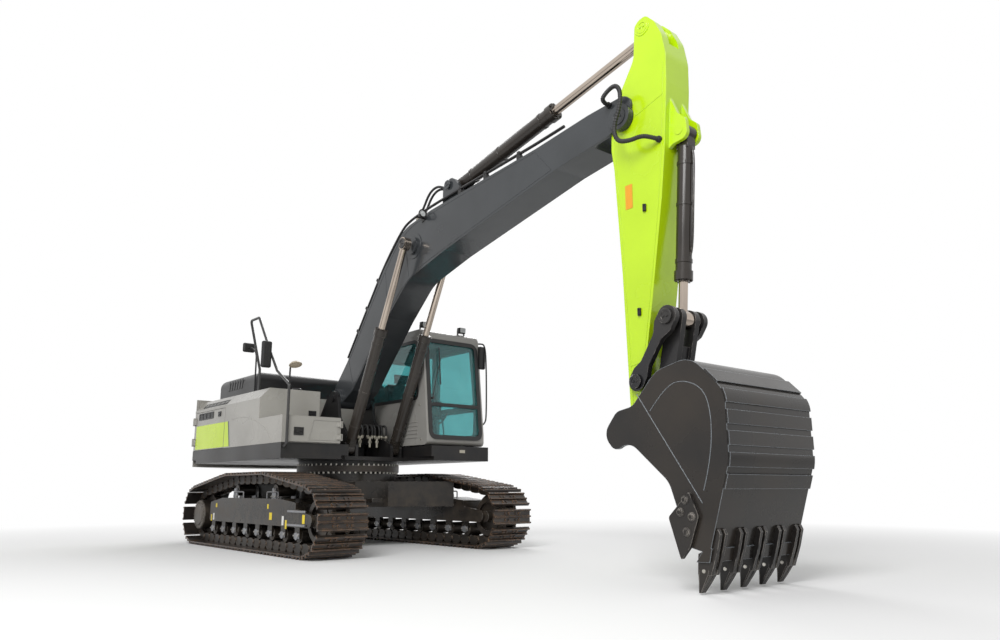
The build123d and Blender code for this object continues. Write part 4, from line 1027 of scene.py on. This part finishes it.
for lever_y in (0.87, 0.99):
    bend_tube(inside, side_view(lever_rows, lever_y), 0.010)
add_slab(inside, place(0.93, 0.545, 1.86), Vector((0.02, 0, 0.17)), left_out * 0.20,
         Vector((0.03, 0.008, 0)), 0.012)
bend_tube(inside, [place(1.02, 0.50, 1.62), place(0.98, 0.56, 1.72), place(0.96, 0.63, 1.90)], 0.014)
new_piece("cab_inside", inside, "upper", console_grey, "seat_fabric")
red_lever = bmesh.new()
bend_tube(red_lever, [place(0.28, 1.315, 1.70), place(0.38, 1.325, 1.72), place(0.47, 1.325, 1.84)], 0.011,
          12)
new_piece("safety_lever", red_lever, "upper", red_paint, "cast_parts")

# On top of the tanks: a filler cap in its collar and a bolted round cover over the strainer.
# Both are black painted steel.
tank_top = 2.044
filler = place(-0.12, -0.76, tank_top)
strainer = place(-0.60, -0.80, tank_top)
strainer_thickness = 0.010
tank_tops = bmesh.new()
add_rod(tank_tops, filler, filler + upright * 0.018, 0.075, sides=40)
add_ring(tank_tops, filler + upright * 0.014, upright, 0.03, 0.062, 0.036, 0.006, sides=40)
add_rod(tank_tops, filler + upright * 0.016, filler + upright * 0.044, 0.05, sides=32)
add_rod(tank_tops, strainer, strainer + upright * strainer_thickness, 0.135, sides=48)
add_bolt_circle(tank_tops, strainer + upright * strainer_thickness, upright, forward, 0.115, 8, 0.009, 0.008)
new_piece("tank_caps", tank_tops, "upper", satin_black, "black_paint")

# Valve hoses in front of the boom's foot: black rubber pressure hoses on pale plated fittings.
# Pairs leave each T-piece, rise, and turn back to the valve block.
pale_fitting = finish("pale_fitting", (0.55, 0.52, 0.44), (0.42, 0.39, 0.32), (0.25, 0.45), metallic=0.5,
                      edge_width=0.0015)
fitting_foot = 1.305
tee_height = 0.13
tee_reach = 0.042
hose_rows = [(0.0, 0.0), (0.01, 0.08), (-0.03, 0.15), (-0.15, 0.14), (-0.27, 0.02), (-0.32, -0.10)]
fittings = bmesh.new()
hoses = bmesh.new()
for fitting_y in (-0.09, 0.06, 0.17, 0.28):
    foot = place(0.45, fitting_y, fitting_foot)
    tee = foot + upright * tee_height
    add_rod(fittings, foot, tee, 0.017, sides=14)
    add_rod(fittings, tee - left_out * tee_reach, tee + left_out * tee_reach, 0.017, sides=14)
    add_ring(fittings, foot + upright * 0.06, upright, 0.012, 0.026, 0.03, sides=6)
    for end in (-0.034, 0.034):
        port = tee + left_out * end
        add_ring(fittings, port + upright * 0.004, upright, 0.008, 0.021, 0.026, sides=6)
        bend_tube(hoses, [port + Vector((x, 0, 0.025 + z)) for x, z in hose_rows], 0.015)
new_piece("valve_fittings", fittings, "upper", pale_fitting, "cast_parts")
new_piece("valve_hoses", hoses, "upper", rubber, "hose_rubber")

# Blank plate: a small pale metal plate on the front of the deck's skirt, left of the boom.
# It is fixed flat and carries nothing.
skirt_plate = bmesh.new()
add_slab(skirt_plate, place(1.3402, 0.912, 1.222), left_out * 0.088, upright * 0.040, forward * 0.003, 0.001)
new_piece("skirt_plate", skirt_plate, "upper", pale_fitting, "cast_parts")

# Boom: a welded box beam with cast ends, sprayed a dark slate grey with a deep gloss.
# Welds run along its edges and across its sides where the castings and the elbow plates meet.
boom_turn = radians(22.4)
boom_foot = place(0.02, 0, 1.98)
boom_side = 0.2
arm_pivot_pin = (5.7, 0.0)
boom_cylinder_eye = (2.349, 0.944)
seam_radius = 0.0035


def leaning(x, z, y, turn):
    """A step forward, up and to the left, turned nose up by an angle."""
    return Vector((x * cos(turn) - z * sin(turn), y, x * sin(turn) + z * cos(turn)))


def on_boom(x, z, y=0.0):
    """A point in the boom's own side view, forward along it and above its pin line."""
    return boom_foot + leaning(x, z, y, boom_turn)


def weld_bead(shape, start, end):
    """A run of weld between two points, as a bar that swells and narrows."""
    radius = 0.0045
    swell = 0.03
    run = end - start
    count = max(2, round(run.length / swell))
    for step in range(count):
        first = start + run * (step / count)
        last = start + run * ((step + 1) / count)
        add_rod(shape, first, last, radius, radius * 0.8, sides=6, caps=False)


boom_slate = finish("boom_slate", (0.043, 0.047, 0.051), (0.034, 0.037, 0.040), (0.14, 0.28), coat=0.25,
                    shine=0.3, grain_depth=0.0002, edge_width=0.006)
dress(boom_slate, "boom")
cross_seams = [
    ((0.42, 0.36), (0.42, -0.04)), ((1.66, 1.045), (1.50, 0.45)), ((2.24, 1.255), (2.10, 0.65)),
    ((4.62, 0.52), (4.74, 0.18)),
]
edge_seams = [
    [(0.42, 0.365), (1.66, 1.055), (2.24, 1.262), (2.83, 1.118), (4.62, 0.524)],
    [(0.42, -0.03), (0.82, 0.150), (1.50, 0.445), (2.10, 0.650), (2.87, 0.535), (4.74, 0.175)],
]
boom_welds = bmesh.new()
for face_y in (-boom_side, boom_side):
    for first, last in cross_seams:
        weld_bead(boom_welds, on_boom(*first, face_y), on_boom(*last, face_y))
    for rows in edge_seams:
        bend_tube(boom_welds, [on_boom(x, z, face_y) for x, z in rows], seam_radius, 6, 8)
    add_ring(boom_welds, on_boom(*boom_cylinder_eye, face_y), left_out * face_y, 0.09, 0.165, 0.008,
             sides=48)
new_piece("boom_welds", boom_welds, "boom", boom_slate, "boom_paint")

# Boom pipes: two drawn steel pipes, sprayed black, run over the top plate.
# Six welded clamps hold each of them, in two straight stretches.
pipe_rows = [(0.38, 0.448), (1.62, 1.143), (2.25, 1.377), (2.85, 1.218), (4.67, 0.613), (5.06, 0.497)]
pipe_side = 0.173
pipe_height = 0.074
bend_share = 0.16
clamped_runs = (0, 3)
clamp_shares = (0.3, 0.55, 0.85)
clamp_width = 0.052
pipes = bmesh.new()
for side in (-1, 1):
    corners = [on_boom(x, z, side * pipe_side) for x, z in pipe_rows]
    controls = []
    for start, end in zip(corners, corners[1:]):
        controls += [start + (end - start) * bend_share, end - (end - start) * bend_share]
    bend_tube(pipes, [corners[0], *controls[1:-1], corners[-1]], 0.0165, 12, 10)
    for first in clamped_runs:
        start, end = corners[first:first + 2]
        run = (end - start).normalized()
        above = Vector((-run.z, 0, run.x))
        for share in clamp_shares:
            foot = start + (end - start) * share - above * pipe_height - left_out * clamp_width / 2
            add_slab(pipes, foot - run * 0.028, run * 0.056, left_out * clamp_width, above * 0.054, 0.004)
            add_slab(pipes, foot - run * 0.022 + above * 0.054, run * 0.044, left_out * clamp_width,
                     above * 0.046, 0.010)
new_piece("boom_pipes", pipes, "boom", satin_black, "black_paint")

# Boom hoses: pairs of rubber hoses carry the pipes' oil over to the arm cylinder's foot.
# Each has a swaged plated fitting at both ends.
boom_hose_rows = [
    # along the boom, above its pin line, share of the hose's distance to the side
    (2.46, 1.285, 1), (2.60, 1.32, 1), (2.80, 1.45, 1), (2.98, 1.43, 1), (3.10, 1.30, 0.85),
    (3.16, 1.235, 0.75),
]
boom_hoses = bmesh.new()
boom_fittings = bmesh.new()
for side in (-1, 1):
    for inward, lift in ((0.030, 0.0), (0.068, -0.028)):
        hose_y = side * (pipe_side - inward)
        run = [on_boom(x, z + lift, hose_y * share) for x, z, share in boom_hose_rows]
        bend_tube(boom_hoses, run, 0.015, steps=8)
        for end, towards in ((run[0], run[1]), (run[-1], run[-2])):
            add_ring(boom_fittings, end, towards - end, 0.010, 0.021, 0.045, sides=16)
new_piece("boom_hoses", boom_hoses, "boom", rubber, "hose_rubber")
new_piece("boom_hose_fittings", boom_fittings, "boom", pale_fitting, "cast_parts")

# Work lamp on the boom's right side: a black cast housing with a pale lens, on a steel bracket.
# It looks forward, turned a little down from the boom's own line.
boom_ahead = leaning(1, 0, 0, boom_turn)
boom_above = leaning(0, 1, 0, boom_turn)
lamp_along = (boom_ahead - boom_above * 0.25).normalized()
lamp_centre = on_boom(2.735, 1.145, -0.272)
bracket_y = -boom_side - 0.0005
work_lamp = bmesh.new()
add_rod(work_lamp, lamp_centre - lamp_along * 0.055, lamp_centre, 0.030, 0.052, sides=28)
add_ring(work_lamp, lamp_centre, lamp_along, 0.044, 0.055, 0.016, sides=28)
add_slab(work_lamp, on_boom(2.61, 1.115, bracket_y), boom_ahead * 0.07, boom_above * 0.075,
         right_out * 0.006, 0.002)
add_slab(work_lamp, on_boom(2.665, 1.125, bracket_y), boom_ahead * 0.012, boom_above * 0.055,
         right_out * 0.075, 0.002)
new_piece("work_lamp", work_lamp, "boom", satin_black, "black_paint")
work_lens = bmesh.new()
add_rod(work_lens, lamp_centre + lamp_along * 0.001, lamp_centre + lamp_along * 0.010, 0.044, 0.038,
        sides=28)
new_piece("work_lamp_lens", work_lens, "boom", lamp_lens, "cab_glass")

# Cylinders: drawn steel tubes sprayed black, with a bolted gland where the chromed rod comes out.
# A thin oil line lies along each tube. The chrome is hard and bright, and its warm tone is a painted
# reflection.
arm_turn = radians(-87.5)
arm_pivot = on_boom(*arm_pivot_pin)
arm_cylinder_foot = (3.19, 1.27)
arm_cylinder_eye = (-0.812, 0.290)
link_foot = (2.495, 0.0)
link_head = (1.992, 0.368)
boom_cylinder_foot = place(0.605, 0, 1.268)
boom_cylinder_side = left_out * 0.335


def on_arm(x, z, y=0.0):
    """A point in the arm's own side view, down along it and forward of its pin line."""
    return arm_pivot + leaning(x, z, y, arm_turn)


tube_black = finish("tube_black", (0.022, 0.018, 0.015), (0.034, 0.028, 0.023), (0.16, 0.32), coat=0.2,
                    shine=0.35, edge_width=0.003, edge_wear_and_highlight=bare_steel, edge_wear_and_highlight_share=0.2)
# The rod chrome's warm beige colour is a painted reflection, not the metal's own tone.
rod_chrome = finish("rod_chrome", (0.56, 0.48, 0.405), (0.42, 0.355, 0.30), (0.06, 0.16), metallic=1.0,
                    edge_width=0.001, grain_depth=0.00003)
cylinders = [
    # name, body, foot, eye, tube length, tube radius, rod radius
    ("boom_cylinder_{}_right", "boom_barrel_right", boom_cylinder_foot - boom_cylinder_side,
     on_boom(*boom_cylinder_eye) - boom_cylinder_side, 1.64, 0.072, 0.043),
    ("boom_cylinder_{}_left", "boom_barrel_left", boom_cylinder_foot + boom_cylinder_side,
     on_boom(*boom_cylinder_eye) + boom_cylinder_side, 1.64, 0.072, 0.043),
    ("arm_cylinder_{}", "arm_barrel", on_boom(*arm_cylinder_foot), on_arm(*arm_cylinder_eye), 1.751, 0.084,
     0.050),
    ("bucket_cylinder_{}", "bucket_barrel", on_arm(0.330, 0.560), on_arm(*link_head), 1.33, 0.070, 0.040),
]
gland_bolt_count = 8
bands = (
    # share of the way along the tube, width
    (0.10, 0.030), (0.45, 0.026), (0.92, 0.034),
)
foot_clear = 0.16
ends_clear = 0.26
line_foot = 0.17
line_height = 0.021
line_share = 0.86
for name, body, foot, eye, length, tube_radius, rod_radius in cylinders:
    dress(tube_black, name.format("barrel"))
    dress(rod_chrome, name.format("rod"))
    along = (eye - foot).normalized()
    across_tube = along.cross(left_out).normalized()
    end = foot + along * length
    span = length - ends_clear
    gland = bmesh.new()
    add_ring(gland, end, along, rod_radius + 0.001, rod_radius + 0.018, 0.012)
    add_bolt_circle(gland, end, along, across_tube, tube_radius - 0.004, gland_bolt_count, 0.0095, 0.011,
                    0.002, start=0.2)
    for share, wide in bands:
        add_ring(gland, foot + along * (foot_clear + span * share), along, tube_radius - 0.001,
                 tube_radius + 0.006, wide, 0.003)
    line = foot + along * line_foot + across_tube * (tube_radius + line_height)
    reach = along * span * line_share
    inwards = across_tube * -0.022
    bend_tube(gland, [line + inwards, line, line + reach * 0.5, line + reach,
                      line + reach + along * span * 0.02 + inwards], 0.0105, 8, 8)
    new_piece(name.format("fittings"), gland, body, tube_black, "black_paint")

# Pins: each pivot's steel pin ends in a flanged cap with two keeper bolts.
# Caps are painted with the boom or the arm, or black with the links and the boom cylinders.
link_black = finish("link_black", (0.016, 0.016, 0.018), (0.028, 0.026, 0.025), (0.22, 0.38), coat=0.15,
                    shine=0.3, edge_wear_and_highlight=bare_steel, edge_wear_and_highlight_share=0.5, edge_width=0.004)
arm_lime = finish("arm_lime", (0.49, 0.735, 0.003), (0.45, 0.675, 0.003), (0.16, 0.28), coat=0.4,
                  grain_depth=0.0002, edge_width=0.006)
dress(arm_lime, "arm")
dress(link_black, "tipping_links", "bucket_link")
pin_caps = [
    # name, body, place, distance from the middle, radius, material, slot
    ("boom_cylinder_pins", "boom", on_boom(*boom_cylinder_eye), 0.3795, 0.066, link_black, "boom_paint"),
    ("cylinder_foot_pins", "upper", boom_cylinder_foot, 0.3795, 0.060, link_black, "black_paint"),
    ("arm_pivot_pin", "boom", arm_pivot, 0.2402, 0.082, boom_slate, "boom_paint"),
    ("arm_cylinder_foot_pin", "boom", on_boom(*arm_cylinder_foot), 0.1702, 0.055, boom_slate, "boom_paint"),
    ("arm_cylinder_eye_pin", "arm", on_arm(*arm_cylinder_eye), 0.1652, 0.064, arm_lime, "lime_paint"),
    ("link_foot_pin", "tipping_links", on_arm(*link_foot), 0.2402, 0.062, link_black, "black_paint"),
    ("link_head_pin", "tipping_links", on_arm(*link_head), 0.2402, 0.066, link_black, "black_paint"),
]
plate_thickness = 0.004
for name, body, spot, reach, radius, paint, slot_name in pin_caps:
    cap = bmesh.new()
    for side in (-1, 1):
        out = left_out * side
        centre = spot + out * reach
        plate = centre + out * plate_thickness
        add_rod(cap, centre, plate, radius * 0.86, sides=36)
        add_ring(cap, centre, out, radius * 0.62, radius, 0.009, 0.0025, sides=36)
        for keeper in (forward * radius * 0.3, forward * radius * -0.3):
            add_bolt(cap, plate + keeper, out, 0.010, 0.006, 0.002)
    new_piece(name, cap, body, paint, slot_name)

# Arm: a tapering welded box in bright lime gloss, with turned bosses at its pins.
# Beads of weld run along its edges and across its ends.
arm_side = 0.165
arm_edge_seams = [
    [(-0.35, 0.497), (0.49, 0.407), (0.94, 0.334), (1.80, 0.160), (2.32, 0.045)],
    [(0.10, -0.128), (0.46, -0.122), (1.46, -0.102), (2.68, -0.100)],
]
arm_cross_seams = [((0.10, -0.125), (-0.05, 0.47)), ((2.32, 0.04), (2.34, -0.105))]
arm_welds = bmesh.new()
for face_y in (-arm_side, arm_side):
    for rows in arm_edge_seams:
        bend_tube(arm_welds, [on_arm(x, z, face_y) for x, z in rows], seam_radius, 6, 8)
    for first, last in arm_cross_seams:
        weld_bead(arm_welds, on_arm(*first, face_y), on_arm(*last, face_y))
    for pin, radius in ((arm_cylinder_eye, 0.085), (link_foot, 0.090)):
        add_ring(arm_welds, on_arm(*pin, face_y), left_out * face_y, radius * 0.7, radius, 0.006, sides=40)
new_piece("arm_welds", arm_welds, "arm", arm_lime, "lime_paint")

# Arm label and pad clamps: a blank orange label with a raised border, stuck high on the arm's right side.
# Below it, two small black clamps are held by a pair of bolts each.
label_orange = finish("label_orange", (0.80, 0.36, 0.02), (0.72, 0.31, 0.02), (0.3, 0.45), edge_width=0.001)
label_wide = forward * 0.084
label_tall = upright * 0.23
label_corner = place(5.327, 0, 3.372) - Vector((0.042, arm_side + 0.0002, 0.115))
label = bmesh.new()
add_slab(label, label_corner, label_wide, label_tall, right_out * 0.0012)
add_frame(label, [label_corner, label_corner + label_wide, label_corner + label_wide + label_tall,
                  label_corner + label_tall], 0.004, right_out * 0.0018)
new_piece("arm_label", label, "arm", label_orange, "lime_paint")
clamp_out = right_out * 0.018
pad_clamps = bmesh.new()
for x, z in ((0.946, 0.177), (1.877, 0.040)):
    middle = on_arm(x, z, -arm_side)
    add_slab(pad_clamps, middle - forward * 0.017 - upright * 0.034, forward * 0.034, upright * 0.068,
             clamp_out, 0.004)
    for offset in (-0.025, 0.025):
        add_bolt(pad_clamps, middle + upright * offset + clamp_out, right_out, 0.008, 0.007, 0.002)
new_piece("arm_pad_clamps", pad_clamps, "arm", satin_black, "black_paint")

# Arm hose: a black corrugated sleeve over the hose that crosses from the boom to the arm.
# It hangs in a loop beside the pivot, as slack for the arm's travel; the piece itself is fixed in place and
# rides on neither the boom nor the arm.
hose_line = spline_line([
    place(5.150, -0.204, 4.330), place(5.150, -0.325, 4.330), place(5.235, -0.330, 4.395),
    place(5.345, -0.330, 4.420), place(5.405, -0.330, 4.330), place(5.385, -0.330, 4.170),
    place(5.305, -0.330, 4.010), place(5.340, -0.330, 3.860), place(5.480, -0.325, 3.815),
    place(5.600, -0.290, 3.835), place(5.680, -0.240, 3.805), place(5.700, -0.168, 3.800),
], 24)
sleeve = bmesh.new()
add_tube(sleeve, hose_line, [0.0215 if index % 4 < 2 else 0.0185 for index in range(len(hose_line))], 12)
sleeve_piece = new_piece("arm_hose_sleeve", sleeve, "boom", rubber, "hose_rubber")
sleeve_piece.parent = None
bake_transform(sleeve_piece)
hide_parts("arm_hose")
for body, end, depth in (("boom", hose_line[0], 0.026), ("arm", hose_line[-1], 0.022)):
    flange = bmesh.new()
    add_ring(flange, end + left_out * 0.003, right_out, 0.016, 0.030, depth, sides=24)
    new_piece(f"arm_hose_flange_{body}", flange, body, satin_black, "black_paint")

# Bucket: wear-resistant plate sprayed charcoal, with a welded seam on each side. Its edges are painted pale
# blue-grey: partly rubbed bright, partly a painted highlight along them.
# The side cutters are hard castings, bolted on so that they can be changed.
bucket_charcoal = finish("bucket_charcoal", (0.016, 0.0145, 0.0135), (0.030, 0.024, 0.019), (0.20, 0.38),
                         coat=0.15, edge_wear_and_highlight=(0.30, 0.33, 0.36), edge_wear_and_highlight_share=1.5, edge_width=0.007,
                         grain_depth=0.0005, shine=0.28)
tooth_steel = finish("tooth_steel", (0.014, 0.013, 0.013), (0.026, 0.022, 0.019), (0.26, 0.42), coat=0.1,
                     shine=0.3, edge_wear_and_highlight=(0.34, 0.31, 0.28), edge_wear_and_highlight_share=0.8, edge_width=0.006, grain=60.0,
                     grain_depth=0.0008)
dress(bucket_charcoal, "bucket")
bucket_side = 0.585
bucket_pivot = on_arm(2.925, 0)


def on_bucket(x, z, y=0.0):
    """A point in the bucket's own side view."""
    return bucket_pivot + Vector((x, y, z))


seam = ((0.284, 0.262), (0.870, -0.585))
rim = [(0.413, 0.119), (0.571, 0.299), (0.746, 0.333), (0.929, 0.247), (0.985, 0.026), (0.955, -0.287),
       (0.885, -0.492)]
cutter_rows = [(0.769, -0.501), (0.849, -0.675), (0.765, -0.897), (0.681, -0.994), (0.577, -0.689)]
cutter_bolt_rows = [(0.735, -0.560), (0.690, -0.650), (0.790, -0.680), (0.740, -0.790)]
cutter_thickness = 0.028
washer_thickness = 0.008
side_plates = bmesh.new()
side_welds = bmesh.new()
cutter_bolts = bmesh.new()
for side in (-1, 1):
    out = left_out * side
    face_y = side * bucket_side
    weld_bead(side_welds, on_bucket(*seam[0], face_y), on_bucket(*seam[1], face_y))
    bend_tube(side_welds, [on_bucket(x, z, face_y) for x, z in rim], 0.004, 6, 8)
    add_pane(side_plates, [on_bucket(x, z, face_y) + out * 0.0002 for x, z in cutter_rows],
             out * cutter_thickness, 0.02, 3)
    for x, z in cutter_bolt_rows:
        foot = on_bucket(x, z, face_y) + out * cutter_thickness
        top = foot + out * washer_thickness
        add_rod(cutter_bolts, foot, top, 0.034, 0.030, sides=24)
        add_bolt(cutter_bolts, top, out, 0.017, 0.012, 0.003)
new_piece("side_cutters", side_plates, "bucket", tooth_steel, "bucket_paint")
new_piece("bucket_welds", side_welds, "bucket", bucket_charcoal, "bucket_paint")
new_piece("cutter_bolts", cutter_bolts, "bucket", tooth_steel, "bucket_paint")

# Wear strips across the bucket's back: six flat steel bars, bent to its curve and welded on.
# They are sprayed with the bucket, and their edges carry its pale edge colour too: rubbed wear and a painted
# highlight.
strip_count = 6
strip_top = 0.387
strip_pitch = 0.152
strip_height = 0.105
strip_thickness = 0.018
strip_steps = 6
strip_sunk = 0.004


def back_of_bucket(height):
    """How far forward the bucket's wrapped back is, at a height about its pivot."""
    hit = parts["bucket"].ray_cast(on_bucket(2.0, height, 0.31), -forward)
    return hit[1].x - bucket_pivot.x


strips = bmesh.new()
for index in range(strip_count):
    top = strip_top - index * strip_pitch
    heights = [top - strip_height * step / strip_steps for step in range(strip_steps + 1)]
    inner = [Vector((back_of_bucket(height) - strip_sunk, 0, height)) for height in heights]
    along = (inner[-1] - inner[0]).normalized()
    proud = Vector((-along.z, 0, along.x)) * (1 if -along.z > 0 else -1)
    rows = inner + [spot + proud * strip_thickness for spot in reversed(inner)]
    ring = [strips.verts.new(on_bucket(spot.x, spot.z, -bucket_side)) for spot in rows]
    push(strips, [strips.faces.new(ring)], left_out * bucket_side * 2)
new_piece("wear_strips", strips, "bucket", bucket_charcoal, "bucket_paint")

# Teeth: a cast adapter straddles the lip, and a pointed tip is pinned on it.
# The tips narrow towards their edge, with a rib down the middle.
tooth_count = 5
tooth_pitch = 0.260
cheek_rows = [(0.795, -1.000), (0.800, -0.944), (0.928, -0.880), (0.957, -0.775), (0.978, -0.765),
              (0.994, -0.800), (0.962, -0.925), (0.903, -1.088), (0.790, -1.088)]
nose_rows = [(0.812, -1.02), (0.800, -0.99), (0.935, -0.93), (0.900, -1.085), (0.80, -1.085)]
adapter_plates = [
    # outline, from, to across the tooth
    (cheek_rows, -0.048, -0.018), (cheek_rows, 0.018, 0.048), (nose_rows, -0.018, 0.018),
]
tip_stations = [
    # forward, height, depth, width
    (0.845, -1.040, 0.108, 0.094), (0.842, -1.075, 0.108, 0.100), (0.815, -1.150, 0.062, 0.084),
    (0.786, -1.219, 0.022, 0.062),
]
tip_outline = [
    # shares of the depth and of the width
    (-0.5, -0.42), (-0.5, 0.42), (-0.36, 0.5), (0.36, 0.5), (0.5, 0.42), (0.5, 0.12), (0.58, 0),
    (0.5, -0.12), (0.5, -0.42), (0.36, -0.5), (-0.36, -0.5),
]
pin_spot = (0.842, -1.062)
tooth_tips = bmesh.new()
adapters = bmesh.new()
tooth_pins = bmesh.new()
for index in range(tooth_count):
    tooth_y = (index - (tooth_count - 1) / 2) * tooth_pitch
    for rows, low, high in adapter_plates:
        add_profile(adapters, rows, Matrix.Translation(on_bucket(0, 0, tooth_y)), low, high)
    close_rings(tooth_tips, [
        [tooth_tips.verts.new(on_bucket(x + depth * a, z, tooth_y + width * b)) for a, b in tip_outline]
        for x, z, depth, width in tip_stations
    ])
    for side in (-1, 1):
        foot = on_bucket(*pin_spot, tooth_y + side * 0.0475)
        add_rod(tooth_pins, foot, foot + left_out * side * 0.006, 0.016, 0.013, sides=20)
new_piece("tooth_adapters", adapters, "bucket", tooth_steel, "bucket_paint")
tips = new_piece("tooth_tips", tooth_tips, "bucket", tooth_steel, "bucket_paint")
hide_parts("bucket_teeth")
new_piece("tooth_pins", tooth_pins, "bucket", bright_zinc, "cast_parts")
